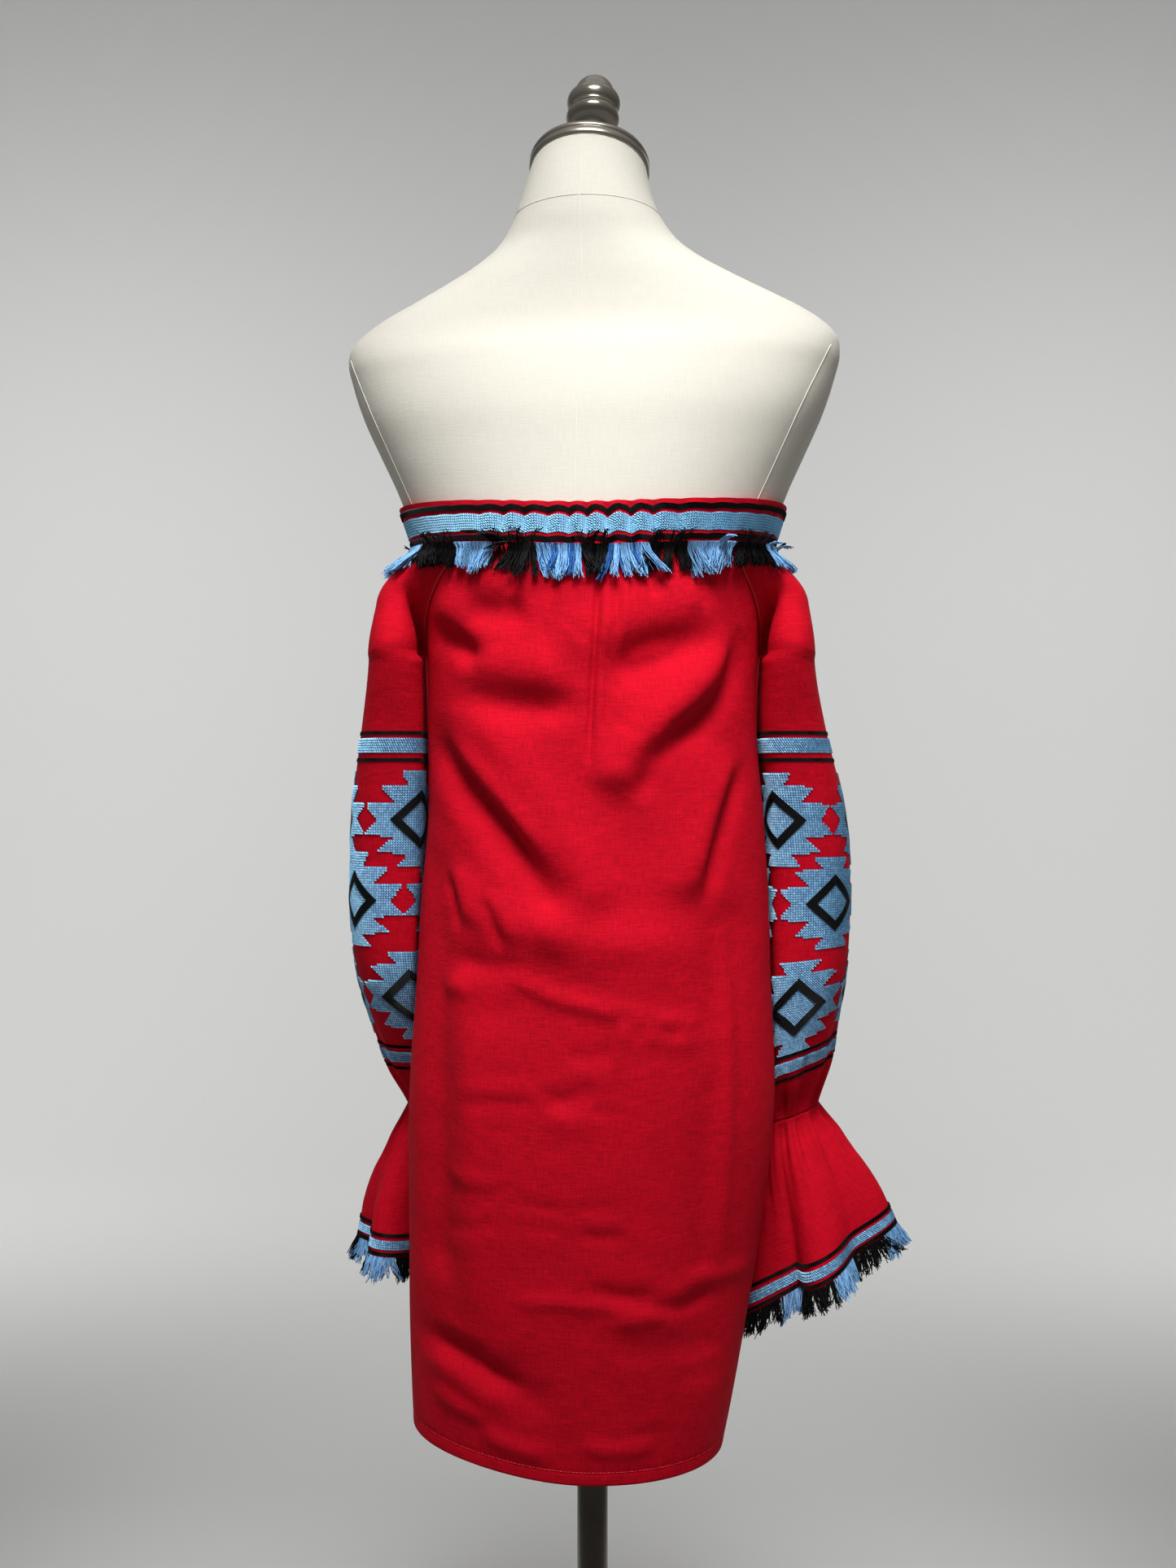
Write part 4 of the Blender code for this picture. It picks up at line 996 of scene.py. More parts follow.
def turned_object(name, outline):
    """A turned piece from its outline of (radius, height), standing at the origin."""
    outline = np.array(outline)
    turns = -2 * np.pi * np.arange(TURN_STEPS + 1) / TURN_STEPS
    turns[-1] = 0.0
    radius, height = outline[:, 0][:, None], outline[:, 1][:, None]
    points = np.stack(np.broadcast_arrays(radius * np.cos(turns), radius * np.sin(turns), height), -1)
    return grid_object(name, points, outward=False)


def moved_mesh(made, matrix):
    """Puts a piece in place through its mesh, so that its object stays at the origin."""
    made.data.transform(matrix)
    made.data.update()
    return made


def new_tree(name, inputs):
    """An empty geometry tree with a geometry input and named float inputs."""
    tree = bpy.data.node_groups.new(name, "GeometryNodeTree")
    tree.interface.new_socket("Geometry", in_out="INPUT", socket_type="NodeSocketGeometry")
    tree.interface.new_socket("Geometry", in_out="OUTPUT", socket_type="NodeSocketGeometry")
    for label in inputs:
        tree.interface.new_socket(label, in_out="INPUT", socket_type="NodeSocketFloat")
    tree.interface.new_socket("Finish", in_out="INPUT", socket_type="NodeSocketMaterial")
    nodes = Nodes(tree)
    return tree, nodes, nodes.node("NodeGroupInput"), nodes.node("NodeGroupOutput")


def named(nodes, name, kind="FLOAT"):
    return nodes.node("GeometryNodeInputNamedAttribute", {"Name": name}, data_type=kind).outputs[0]


def thread_bar(nodes, shade, ridged=True):
    """One thread of unit length, width and rise, lying along X, with a ridge down its middle."""
    grid = {"Size X": 1.0, "Size Y": 1.0, "Vertices X": 2, "Vertices Y": 3 if ridged else 2}
    grid = nodes.node("GeometryNodeMeshGrid", grid).outputs["Mesh"]
    place = nodes.node("ShaderNodeSeparateXYZ", {0: nodes.node("GeometryNodeInputPosition").outputs[0]})
    ridge = 1.0
    if ridged:
        ridge = nodes.math("MULTIPLY_ADD", nodes.math("ABSOLUTE", place.outputs[1]), -2.0, 1.0)
    raised = nodes.node("ShaderNodeCombineXYZ", {"Z": ridge}).outputs[0]
    bar = nodes.node("GeometryNodeSetPosition", {"Geometry": grid, "Offset": raised}).outputs[0]
    stored = {"Geometry": bar, "Name": "shade", "Value": shade}
    return nodes.node("GeometryNodeStoreNamedAttribute", stored).outputs[0]


def placed_on_points(nodes, start, end, instance):
    """Puts the instance on every point, turned and sized by the point's attributes."""
    axes = {0: named(nodes, "facing", "FLOAT_VECTOR"), 1: named(nodes, "along", "FLOAT_VECTOR")}
    turn = nodes.node("FunctionNodeAxesToRotation", axes, primary_axis="Z", secondary_axis="X").outputs[0]
    inputs = {"Points": start.outputs["Geometry"], "Instance": instance, "Rotation": turn}
    inputs["Scale"] = named(nodes, "size", "FLOAT_VECTOR")
    placed = nodes.node("GeometryNodeInstanceOnPoints", inputs).outputs[0]
    real = nodes.node("GeometryNodeRealizeInstances", {"Geometry": placed}).outputs[0]
    dressed = nodes.node("GeometryNodeSetMaterial", {"Geometry": real, "Material": start.outputs["Finish"]})
    nodes.put(end.inputs[0], dressed.outputs[0])


def satin_tree():
    """One thread on every point."""
    tree, nodes, start, end = new_tree("satin_threads", ["Width", "Rise"])
    size = {"X": 1.0, "Y": start.outputs["Width"], "Z": start.outputs["Rise"]}
    size = nodes.node("ShaderNodeCombineXYZ", size)
    bar = nodes.node("GeometryNodeTransform", {"Geometry": thread_bar(nodes, 1.0), "Scale": size.outputs[0]})
    placed_on_points(nodes, start, end, bar.outputs[0])
    return tree


def cross_tree():
    """On every point a cross stitch: two threads over a ground painted in the gaps' shade, one cell in size.
    """
    tree, nodes, start, end = new_tree("cross_stitches", ["Width", "Rise"])
    width, rise = start.outputs["Width"], start.outputs["Rise"]
    parts = []
    # The under thread's shade of 0.60 paints it partly in the gaps' painted shade. The top thread takes the
    # full thread colour.
    for turn, lift, shade, ridged in ((45.0, 0.55, 0.60, False), (-45.0, 1.35, 1.0, True)):
        high = nodes.math("MULTIPLY", rise, lift)
        size = nodes.node("ShaderNodeCombineXYZ", {"X": CELL_OVERLAP, "Y": width, "Z": high}).outputs[0]
        bar = thread_bar(nodes, shade, ridged)
        inputs = {"Geometry": bar, "Scale": size, "Rotation": (0, 0, math.radians(turn))}
        parts.append(nodes.node("GeometryNodeTransform", inputs).outputs[0])
    ground = {"Size X": CELL_OVERLAP, "Size Y": CELL_OVERLAP, "Vertices X": 2, "Vertices Y": 2}
    ground = nodes.node("GeometryNodeMeshGrid", ground).outputs["Mesh"]
    stored = {"Geometry": ground, "Name": "shade", "Value": 0.0}
    parts.append(nodes.node("GeometryNodeStoreNamedAttribute", stored).outputs[0])
    joined = nodes.node("GeometryNodeJoinGeometry")
    for part in parts:
        nodes.put(joined.inputs[0], part)
    placed_on_points(nodes, start, end, joined.outputs[0])
    return tree


def strand_tree():
    """A strand, roll or cord along every chain of edges."""
    tree, nodes, start, end = new_tree("yarn_strands", ["Radius", "Sides"])
    curves = nodes.node("GeometryNodeMeshToCurve", {"Mesh": start.outputs["Geometry"]}).outputs[0]
    section = {"Resolution": start.outputs["Sides"], "Radius": start.outputs["Radius"]}
    section = nodes.node("GeometryNodeCurvePrimitiveCircle", section).outputs["Curve"]
    inputs = {"Curve": curves, "Profile Curve": section, "Scale": named(nodes, "thick")}
    tube = nodes.node("GeometryNodeCurveToMesh", inputs).outputs[0]
    real = nodes.node("GeometryNodeRealizeInstances", {"Geometry": tube}).outputs[0]
    dressed = nodes.node("GeometryNodeSetMaterial", {"Geometry": real, "Material": start.outputs["Finish"]})
    nodes.put(end.inputs[0], dressed.outputs[0])
    return tree


TREES = {"satin_threads": satin_tree, "cross_stitches": cross_tree, "yarn_strands": strand_tree}


def carrier_mesh(name, points, edges=(), **values):
    """A mesh of bare points or chains that carries attributes for a tree."""
    mesh = bpy.data.meshes.new(name)
    mesh.from_pydata(np.asarray(points).reshape(-1, 3).tolist(), list(edges), [])
    for key, value in values.items():
        value = np.asarray(value, np.float32)
        is_vector = value.ndim == 2
        kind = "FLOAT_VECTOR" if is_vector else "FLOAT"
        layer = mesh.attributes.new(key, kind, "POINT")
        layer.data.foreach_set("vector" if is_vector else "value", np.ascontiguousarray(value).ravel())
    return mesh


def grown(name, tree_name, carrier, finish, **inputs):
    """Runs a tree on a carrier mesh and keeps what it makes as a plain mesh."""
    tree = bpy.data.node_groups.get(tree_name) or TREES[tree_name]()
    made = link(bpy.data.objects.new(name, carrier))
    growth = made.modifiers.new("growth", "NODES")
    growth.node_group = tree
    inputs["Finish"] = finish_of(finish)
    for item in tree.interface.items_tree:
        if item.in_out == "INPUT" and item.name in inputs:
            growth[item.identifier] = inputs[item.name]
    bpy.context.view_layer.update()
    evaluated = made.evaluated_get(bpy.context.evaluated_depsgraph_get())
    plain = bpy.data.meshes.new_from_object(evaluated)
    made.modifiers.clear()
    made.data = plain
    plain.name = name
    bpy.data.meshes.remove(carrier)
    if not len(plain.polygons):
        raise RuntimeError(f"{name} came out empty")
    return made


def unit(vectors):
    return vectors / np.maximum(np.linalg.norm(vectors, axis=-1, keepdims=True), 1e-12)


def rolled(name, paths, radius, finish, thick=None):
    """Round rolls of cloth or thread along these paths. thick holds a factor for each point."""
    sizes = np.concatenate(thick) if thick else np.ones(sum(len(path) for path in paths))
    edges, first = [], 0
    for path in paths:
        edges.extend((first + i, first + i + 1) for i in range(len(path) - 1))
        first += len(path)
    tone = np.full(first, 0.42)
    carrier = carrier_mesh(name + "_paths", np.concatenate(paths), edges, thick=sizes, tone=tone)
    made = grown(name, "yarn_strands", carrier, finish, Radius=radius, Sides=8.0)
    made.data.shade_smooth()
    return finished(made, finish)


class Sleeve:
    """Places on a sleeve or cuff, by a share of the way round it and a level."""

    def __init__(self, side, top, foot):
        self.side = side
        self.levels = np.linspace(foot, top, 70)
        acrosses = np.linspace(-1, 1, 241)
        lengths = arc_lengths(tube_point(side, acrosses[None, :], self.levels[:, None]))
        self.girths = lengths[:, -1]
        self.shares = np.linspace(0, 1, 481)
        self.acrosses = np.array([np.interp(self.shares, row / row[-1], acrosses) for row in lengths])

    def girth(self, height):
        return np.interp(height, self.levels, self.girths)

    def across(self, share, height):
        """The position across for a share of the way round at a level."""
        up = np.interp(height, self.levels, np.arange(len(self.levels)))
        on = (share % 1.0) * (len(self.shares) - 1)
        row = np.minimum(up.astype(int), len(self.levels) - 2)
        column = np.minimum(on.astype(int), len(self.shares) - 2)
        up, on = up - row, on - column
        lower = self.acrosses[row, column] * (1 - on) + self.acrosses[row, column + 1] * on
        upper = self.acrosses[row + 1, column] * (1 - on) + self.acrosses[row + 1, column + 1] * on
        return lower * (1 - up) + upper * up

    def frames(self, share, height):
        """Points, and the directions sideways, down and outwards there."""
        step = 1e-3
        across = self.across(share, height)
        sideways = tube_point(self.side, across + step, height) - tube_point(self.side, across - step, height)
        down = tube_point(self.side, across, height - step) - tube_point(self.side, across, height + step)
        facing = unit(np.cross(down, sideways)) * self.side
        return tube_point(self.side, across, height), unit(sideways), unit(down), facing


class Stitching:
    """Collects points for one tree, with their directions, sizes and tones."""

    def __init__(self, seed, least_tone=0.0):
        self.dice = np.random.default_rng(seed)
        self.least_tone = least_tone
        self.rows = {"point": [], "facing": [], "along": [], "size": [], "tone": []}

    def add(self, point, facing, along, size):
        count = len(point)
        self.rows["point"].append(point)
        self.rows["facing"].append(facing)
        self.rows["along"].append(along)
        self.rows["size"].append(np.broadcast_to(size, (count, 3)))
        self.rows["tone"].append(self.dice.uniform(self.least_tone, 1.0, count))

    def grow(self, name, tree, finish, slot, **inputs):
        columns = {key: np.concatenate(value) for key, value in self.rows.items()}
        carrier = carrier_mesh(name + "_points", columns.pop("point"), **columns)
        return finished(grown(name, tree, carrier, finish, **inputs), finish)

    def grow_crosses(self, name):
        """Blue cross stitches over a ground painted in the gaps' shade."""
        rise = bpy.context.scene.dress_sizes.stitch_rise
        self.grow(name, "cross_stitches", "blue_stitches", "band_blue", Width=STITCH_WIDTH, Rise=rise)

    def grow_satin(self, name, rise):
        """Black satin threads that lie a little over each other."""
        width = bpy.context.scene.dress_sizes.satin_pitch * SATIN_OVERLAP
        self.grow(name, "satin_threads", "black_thread", "band_blue", Width=width, Rise=rise)


def add_cells(stitching, sleeve, columns, chosen, heights, cell_height):
    """Cross stitches in the chosen cells, rows by columns, round a sleeve or cuff."""
    row, column = np.nonzero(chosen)
    height = heights[row]
    point, sideways, _, facing = sleeve.frames((column + 0.5) / columns, height)
    size = np.stack([sleeve.girth(height) / columns, np.full(len(row), cell_height), np.ones(len(row))], -1)
    stitching.add(point + facing * CELL_LIFT, facing, sideways, size)


def add_line_round(stitching, sleeve, height, pitch):
    """A satin line round a sleeve or cuff, its threads standing upright."""
    count = int(sleeve.girth(height) / pitch)
    point, _, down, facing = sleeve.frames((np.arange(count) + 0.5) / count, np.full(count, height))
    stitching.add(point + facing * STITCH_LIFT, facing, down, (LINE_HEIGHT, 1.0, 1.0))


class DRESS_OT_stage(bpy.types.Operator):
    """Add the camera, the pale floor and the soft lights"""

    bl_idname = "dress.stage"
    bl_label = "Camera, floor and lights"

    def execute(self, context):
        scene = context.scene
        camera = bpy.data.cameras.new("camera")
        camera.sensor_width = SENSOR
        camera.lens = FOCAL_PIXELS / PHOTO_PIXELS * SENSOR
        camera.clip_end = 60.0
        viewer = link(bpy.data.objects.new("camera", camera))
        viewer.location = CAMERA_PLACE
        viewer.rotation_euler = (math.radians(90), 0, 0)
        scene.camera = viewer
        world = bpy.data.worlds.new("pale_room")
        world.use_nodes = True
        self.lighten(world)
        scene.world = world
        scene.view_settings.view_transform = "Standard"
        for lamp in LAMPS:
            light = bpy.data.lights.new(lamp.name, "AREA")
            light.size = lamp.size
            light.energy = lamp.power
            light.spread = math.radians(lamp.spread)
            holder = link(bpy.data.objects.new(lamp.name, light))
            holder.location = lamp.place
            aim = mathutils.Vector(lamp.aim) - holder.location
            holder.rotation_euler = aim.to_track_quat("-Z", "Y").to_euler()
        self.sweep()
        return {"FINISHED"}

    def sweep(self):
        """The pale floor, which curves up into a backdrop far behind the dress."""
        turns = np.radians(np.linspace(0, 90, 25))
        curve = [(SWEEP_FROM + SWEEP_RADIUS * math.sin(t), SWEEP_RADIUS * (1 - math.cos(t))) for t in turns]
        outline = [(-SWEEP_HALF_WIDTH, 0.0), *curve, (curve[-1][0], SWEEP_TOP)]
        ends = (-SWEEP_HALF_WIDTH, SWEEP_HALF_WIDTH)
        points = np.array([[(x, y, z) for x in ends] for y, z in reversed(outline)])
        floor = grid_object("floor", points)
        made, nodes, shader = new_finish("pale_floor", 0.75)
        place = nodes.node("ShaderNodeTexCoord").outputs["Object"]
        height = nodes.node("ShaderNodeSeparateXYZ", {0: place}).outputs[2]
        paler = nodes.between(height, 0.0, SWEEP_RADIUS)
        paler = nodes.math("MULTIPLY_ADD", nodes.noise(place, 2.5, 3.0), 0.1, paler)
        floor_tone, wall_tone = (0.76, 0.76, 0.75, 1.0), (0.80, 0.80, 0.795, 1.0)
        nodes.put(shader.inputs["Base Color"], nodes.mix(paler, floor_tone, wall_tone))
        floor.data.materials.append(made)

    def lighten(self, world):
        """A pale room, brighter overhead."""
        nodes = Nodes(world.node_tree)
        direction = nodes.node("ShaderNodeTexCoord").outputs["Generated"]
        upwards = nodes.node("ShaderNodeSeparateXYZ", {0: direction}).outputs[2]
        background = world.node_tree.nodes["Background"]
        background.inputs["Color"].default_value = (1.0, 1.0, 0.992, 1.0)
        strength = nodes.between(upwards, 0.15, 0.75, ROOM_LIGHT, OVERHEAD_LIGHT)
        nodes.put(background.inputs["Strength"], strength)


class DRESS_OT_stand(bpy.types.Operator):
    """Turn the foot, the pole and the collar under the form"""

    bl_idname = "dress.stand"
    bl_label = "Stand"

    def execute(self, context):
        foot = [
            (0.0, HUB_TOP),
            (HUB_RADIUS - 0.0035, HUB_TOP),
            (HUB_RADIUS - 0.0010, HUB_TOP - 0.0012),
            (HUB_RADIUS, HUB_TOP - 0.0040),
            (HUB_RADIUS, FOOT_CROWN + 0.0045),
            (HUB_RADIUS + 0.0012, FOOT_CROWN + 0.0014),
            (HUB_RADIUS + 0.0045, FOOT_CROWN - 0.0002),
            (HUB_RADIUS + 0.0400, FOOT_CROWN - 0.0028),
            (FOOT_RADIUS - 0.0400, FOOT_EDGE + 0.0022),
            (FOOT_RADIUS - 0.0100, FOOT_EDGE - 0.0002),
            (FOOT_RADIUS - 0.0040, FOOT_EDGE - 0.0012),
            (FOOT_RADIUS - 0.0010, FOOT_EDGE - 0.0032),
            (FOOT_RADIUS, FOOT_EDGE - 0.0055),
            (FOOT_RADIUS, 0.0010),
            (FOOT_RADIUS - 0.0010, 0.0),
            (0.0, 0.0),
        ]
        finished(turned_object("foot", foot), "dark_metal", ["stand_foot"])
        pole_top = FORM[0].height - SEAM_GAP
        pole_foot = HUB_TOP + SEAM_GAP
        middle = (pole_top + pole_foot) / 2
        pole = [
            (0.0, pole_top),
            (POLE_RADIUS, pole_top),
            (POLE_RADIUS, middle + 0.0006),
            (POLE_RADIUS - 0.0003, middle),
            (POLE_RADIUS, middle - 0.0006),
            (POLE_RADIUS, pole_foot),
            (0.0, pole_foot),
        ]
        finished(turned_object("pole", pole), "dark_metal", ["stand_pole"])
        bore = POLE_RADIUS + SEAM_GAP
        collar = [
            (bore, pole_top),
            (COLLAR_RADIUS - 0.0008, pole_top),
            (COLLAR_RADIUS, pole_top - 0.0008),
            (COLLAR_RADIUS, pole_top - 0.0034),
            (COLLAR_RADIUS - 0.0010, pole_top - 0.0042),
            (bore + 0.0070, pole_top - 0.0058),
            (bore + 0.0060, pole_top - 0.0070),
            (bore + 0.0060, pole_top - COLLAR_HEIGHT + 0.0008),
            (bore + 0.0052, pole_top - COLLAR_HEIGHT),
            (bore, pole_top - COLLAR_HEIGHT),
            (bore, pole_top),
        ]
        finished(turned_object("collar", collar), "dark_metal", ["pole_collar"])
        return {"FINISHED"}


def torso_point(angle, height, outwards=0.0):
    """A point of the torso before it is turned, at an angle from the middle of its own back."""
    half_width, half_depth, centre_y, power, tilt = FORM_TABLE.at(height)
    along_x, along_y = np.sin(np.radians(angle)), -np.cos(np.radians(angle))
    radius = oval_radius(along_x, along_y, half_width, half_depth, power) + outwards
    lean = np.radians(tilt)
    shift = NECK_SHIFT * smooth_step((height - NECK_SHIFT_FROM) / (NECK_TOP - NECK_SHIFT_FROM))
    y = radius * along_y
    parts = radius * along_x + shift, centre_y + y * np.cos(lean), height - y * np.sin(lean)
    return np.stack(np.broadcast_arrays(*parts), -1)


def armhole_angle(height, facing):
    """Where the seam round a covered shoulder end runs, from the middle of the torso's back."""
    half_width, half_depth, _, power, _ = FORM_TABLE.at(height)
    x = np.minimum(0.128 + (height - 1.262) * 0.46, half_width * 0.985)
    y = half_depth * (1 - (x / half_width) ** power) ** (1 / power)
    return np.degrees(np.arctan2(x, y if facing == 0 else -y))


class DRESS_OT_form(bpy.types.Operator):
    """Cover the torso in canvas, with its seams, and set the metal cap and finial on its neck"""

    bl_idname = "dress.form"
    bl_label = "Dress form"

    def execute(self, context):
        turn = mathutils.Matrix.Rotation(math.radians(FORM_TURN), 4, "Z")
        levels = np.concatenate([np.linspace(NECK_TOP, 1.24, 96), np.linspace(1.235, 0.80, 24)])
        points = torso_point(np.linspace(-180, 180, 151)[None, :], levels[:, None])
        points[:, -1] = points[:, 0]
        top, foot = (np.broadcast_to(points[end].mean(axis=0), points[:1].shape) for end in (0, -1))
        torso = moved_mesh(grid_object("torso", np.concatenate([top, points, foot])), turn)
        finished(torso, "fine_canvas", ["form_torso"])
        seams = [
            torso_point(0.0, np.linspace(BACK_SEAM_TOP, FORM_SEAMS_FOOT, 120), FORM_SEAM_SINK),
            torso_point(180.0, np.linspace(BACK_SEAM_TOP, FORM_SEAMS_FOOT, 120), FORM_SEAM_SINK),
            torso_point(np.linspace(-180, 180, 121), np.full(121, NECK_SEAM), FORM_SEAM_SINK),
        ]
        shoulder = np.linspace(SHOULDER_SEAM_TOP, FORM_SEAMS_FOOT, 90)
        for side in SIDES:
            for facing in (0, 180):
                angle = side * armhole_angle(shoulder, facing)
                seams.append(torso_point(angle, shoulder, FORM_SEAM_SINK))
        made = rolled("form_seams", seams, FORM_SEAM_RADIUS, "canvas_thread")
        moved_mesh(made, turn)
        neck = mathutils.Matrix.Translation((NECK_SHIFT, NECK_CENTRE_Y, NECK_TOP))
        neck = turn @ neck @ mathutils.Matrix.Rotation(math.radians(-NECK_TILT), 4, "X")
        cap = [
            (0.0, CAP_HEIGHT),
            (CAP_RADIUS - 0.0100, CAP_HEIGHT),
            (CAP_RADIUS - 0.0030, CAP_HEIGHT - 0.0004),
            (CAP_RADIUS - 0.0008, CAP_HEIGHT - 0.0014),
            (CAP_RADIUS, CAP_HEIGHT - 0.0034),
            (CAP_RADIUS, CAP_HEIGHT - 0.0056),
            (CAP_RADIUS - 0.0006, CAP_HEIGHT - 0.0060),
            (CAP_RADIUS - 0.0006, CAP_HEIGHT - 0.0066),
            (CAP_RADIUS, CAP_HEIGHT - 0.0070),
            (CAP_RADIUS, SEAM_GAP + 0.0020),
            (CAP_RADIUS - 0.0012, SEAM_GAP),
            (0.0, SEAM_GAP),
        ]
        made = moved_mesh(turned_object("cap", cap), neck)
        finished(made, "brushed_metal", ["neck_cap"])
        foot = CAP_HEIGHT + SEAM_GAP
        outline = rounded([(radius, foot + height) for radius, height in FINIAL_OUTLINE])
        outline.append((0.0, foot))
        made = moved_mesh(turned_object("finial", outline), neck)
        finished(made, "plated_metal", ["neck_finial"])
        return {"FINISHED"}


class DRESS_OT_body(bpy.types.Operator):
    """Hang the back and front panels"""

    bl_idname = "dress.body"
    bl_label = "Body panels"

    def execute(self, context):
        for name, facing, columns, rows in (("back", 0, 150, 162), ("front", 180, 96, 110)):
            underarm = (cloth_top(facing) - UNDERARM) / (cloth_top(facing) - hem_height(facing))
            upper = np.linspace(0, underarm, round(rows * 0.16))[:-1]
            lower = np.linspace(underarm, HEM_FROM, rows)[:-1]
            shares = np.concatenate([upper, lower, np.linspace(HEM_FROM, 1.0, 9)])
            even = np.linspace(-1, 1, columns + 1)
            acrosses = np.copysign(np.abs(even) ** 1.25, even)
            angle, height = panel_place(facing, acrosses[None, :], shares[:, None])
            radius = dress_radius(angle, height)
            above_hem = height - hem_height(angle)
            radius = radius - HEM_GROOVE * np.exp(-(((above_hem - HEM_LINE) / 0.0016) ** 2))
            linen_piece(f"{name}_linen", polar(angle, radius, height), f"{name}_panel")
        return {"FINISHED"}


class DRESS_OT_sleeves(bpy.types.Operator):
    """Hang both sleeves and embroider them"""

    bl_idname = "dress.sleeves"
    bl_label = "Sleeves and embroidery"

    def execute(self, context):
        for side, word in SIDES.items():
            self.cloth(context, side, word)
            self.crosses(context, side, word)
            self.satin(context, side, word)
        return {"FINISHED"}

    def cloth(self, context, side, word):
        """The linen of one sleeve, from the raglan seams to the gathered wrist."""
        acrosses = np.linspace(-1, 1, 113)
        shares = np.linspace(0, 1, 27)
        lower = np.linspace(GATHERS_FROM, WRIST + PANEL_GAP, 22)
        levels = np.concatenate([np.linspace(UNDERARM, GATHERS_FROM, 82)[1:], lower[1:]])
        cap = cap_point(side, acrosses[None, :], shares[:, None] + 0 * acrosses[None, :])
        tube = tube_point(side, acrosses[None, :], levels[:, None])
        name = f"sleeve_{word}"
        linen_piece(f"{name}_linen", np.concatenate([cap, tube]), name, side > 0)

    def crosses(self, context, side, word):
        """The blue motifs and strips, cell by cell."""
        pitch = context.scene.dress_sizes.stitch_pitch
        sleeve = Sleeve(side, *SLEEVE_LEVELS)
        stitching = Stitching(11 + side)
        columns = CELLS_ROUND
        heights = np.arange(UPPER_STRIP[0], LOWER_STRIP[1] - pitch, -pitch)
        chosen = np.zeros((len(heights), columns), bool)
        for top, foot in (UPPER_STRIP, LOWER_STRIP):
            chosen |= ((heights >= foot) & (heights <= top))[:, None]
        share = (np.arange(columns) + 0.5) / columns
        for middle, phase in zip(MOTIF_ROWS[side], MOTIF_PHASES[side]):
            up = np.abs(heights - middle) / MOTIF_HALF_HEIGHT
            aside = ((share - phase) * MOTIFS_ROUND + 0.5) % 1.0 - 0.5
            reach = np.interp(up, MOTIF_HEIGHTS, MOTIF_REACHES)
            chosen |= (np.abs(aside)[None, :] * 2 < reach[:, None]) & (up <= 1.0)[:, None]
        add_cells(stitching, sleeve, columns, chosen, heights, pitch)
        stitching.grow_crosses(f"motifs_{word}")

    def satin(self, context, side, word):
        """The black rhombi and the lines above and below each strip."""
        sizes = context.scene.dress_sizes
        sleeve = Sleeve(side, *SLEEVE_LEVELS)
        stitching = Stitching(21 + side)
        for top, foot in (UPPER_STRIP, LOWER_STRIP):
            for height in (top + LINE_GAP + LINE_HEIGHT / 2, foot - LINE_GAP - LINE_HEIGHT / 2):
                add_line_round(stitching, sleeve, height, sizes.satin_pitch)
        half_width, half_height = RHOMBUS_HALF
        inner_height = half_height - RHOMBUS_STROKE * math.hypot(half_width, half_height) / half_width
        spans = []
        for up in np.arange(-half_height + sizes.satin_pitch, half_height, sizes.satin_pitch):
            outer = half_width * (1 - abs(up) / half_height)
            inner = half_width * max(0.0, inner_height - abs(up)) / half_height
            for start, stop in ((-outer, -inner), (inner, outer)):
                pieces = max(1, math.ceil((stop - start) / 0.006))
                ends = np.linspace(start, stop, pieces + 1)
                spans.extend((up, (a + b) / 2, (b - a) * CELL_OVERLAP) for a, b in zip(ends, ends[1:]))
        up, aside, length = np.array(spans).T
        for middle, phase in zip(MOTIF_ROWS[side], MOTIF_PHASES[side]):
            for motif in range(MOTIFS_ROUND):
                height = middle + up
                share = phase + motif / MOTIFS_ROUND + aside / sleeve.girth(height)
                point, sideways, _, facing = sleeve.frames(share, height)
                size = np.stack([length, np.ones(len(up)), np.ones(len(up))], -1)
                stitching.add(point + facing * RHOMBUS_LIFT, facing, sideways, size)
        stitching.grow_satin(f"rhombi_{word}", 0.0006)


class DRESS_OT_cuffs(bpy.types.Operator):
    """Flare the cuffs below the wrists, with their cords and blue strips"""

    bl_idname = "dress.cuffs"
    bl_label = "Cuffs"

    def execute(self, context):
        sizes = context.scene.dress_sizes
        for side, word in SIDES.items():
            acrosses = np.linspace(-1, 1, 141)
            levels = np.concatenate([np.linspace(WRIST, 0.74, 19), np.linspace(0.74, CUFF_HEM, 28)[1:]])
            points = tube_point(side, acrosses[None, :], levels[:, None])
            name = f"cuff_{word}"
            linen_piece(f"{name}_linen", points, name, side > 0)
            sleeve = Sleeve(side, *CUFF_LEVELS)
            crosses = Stitching(31 + side)
            columns = round(sleeve.girth(CUFF_HEM) / sizes.stitch_pitch)
            chosen = np.ones((CUFF_STRIP_ROWS, columns), bool)
            heights = CUFF_HEM + CUFF_STRIP_RISE + np.arange(CUFF_STRIP_ROWS) * sizes.stitch_pitch
            add_cells(crosses, sleeve, columns, chosen, heights, sizes.stitch_pitch)
            crosses.grow_crosses(f"cuff_strip_{word}")
            satin = Stitching(41 + side)
            for rise in CUFF_CORD_RISES:
                add_line_round(satin, sleeve, CUFF_HEM + rise, sizes.satin_pitch)
            satin.grow_satin(f"cuff_cords_{word}", 0.0010)
        return {"FINISHED"}


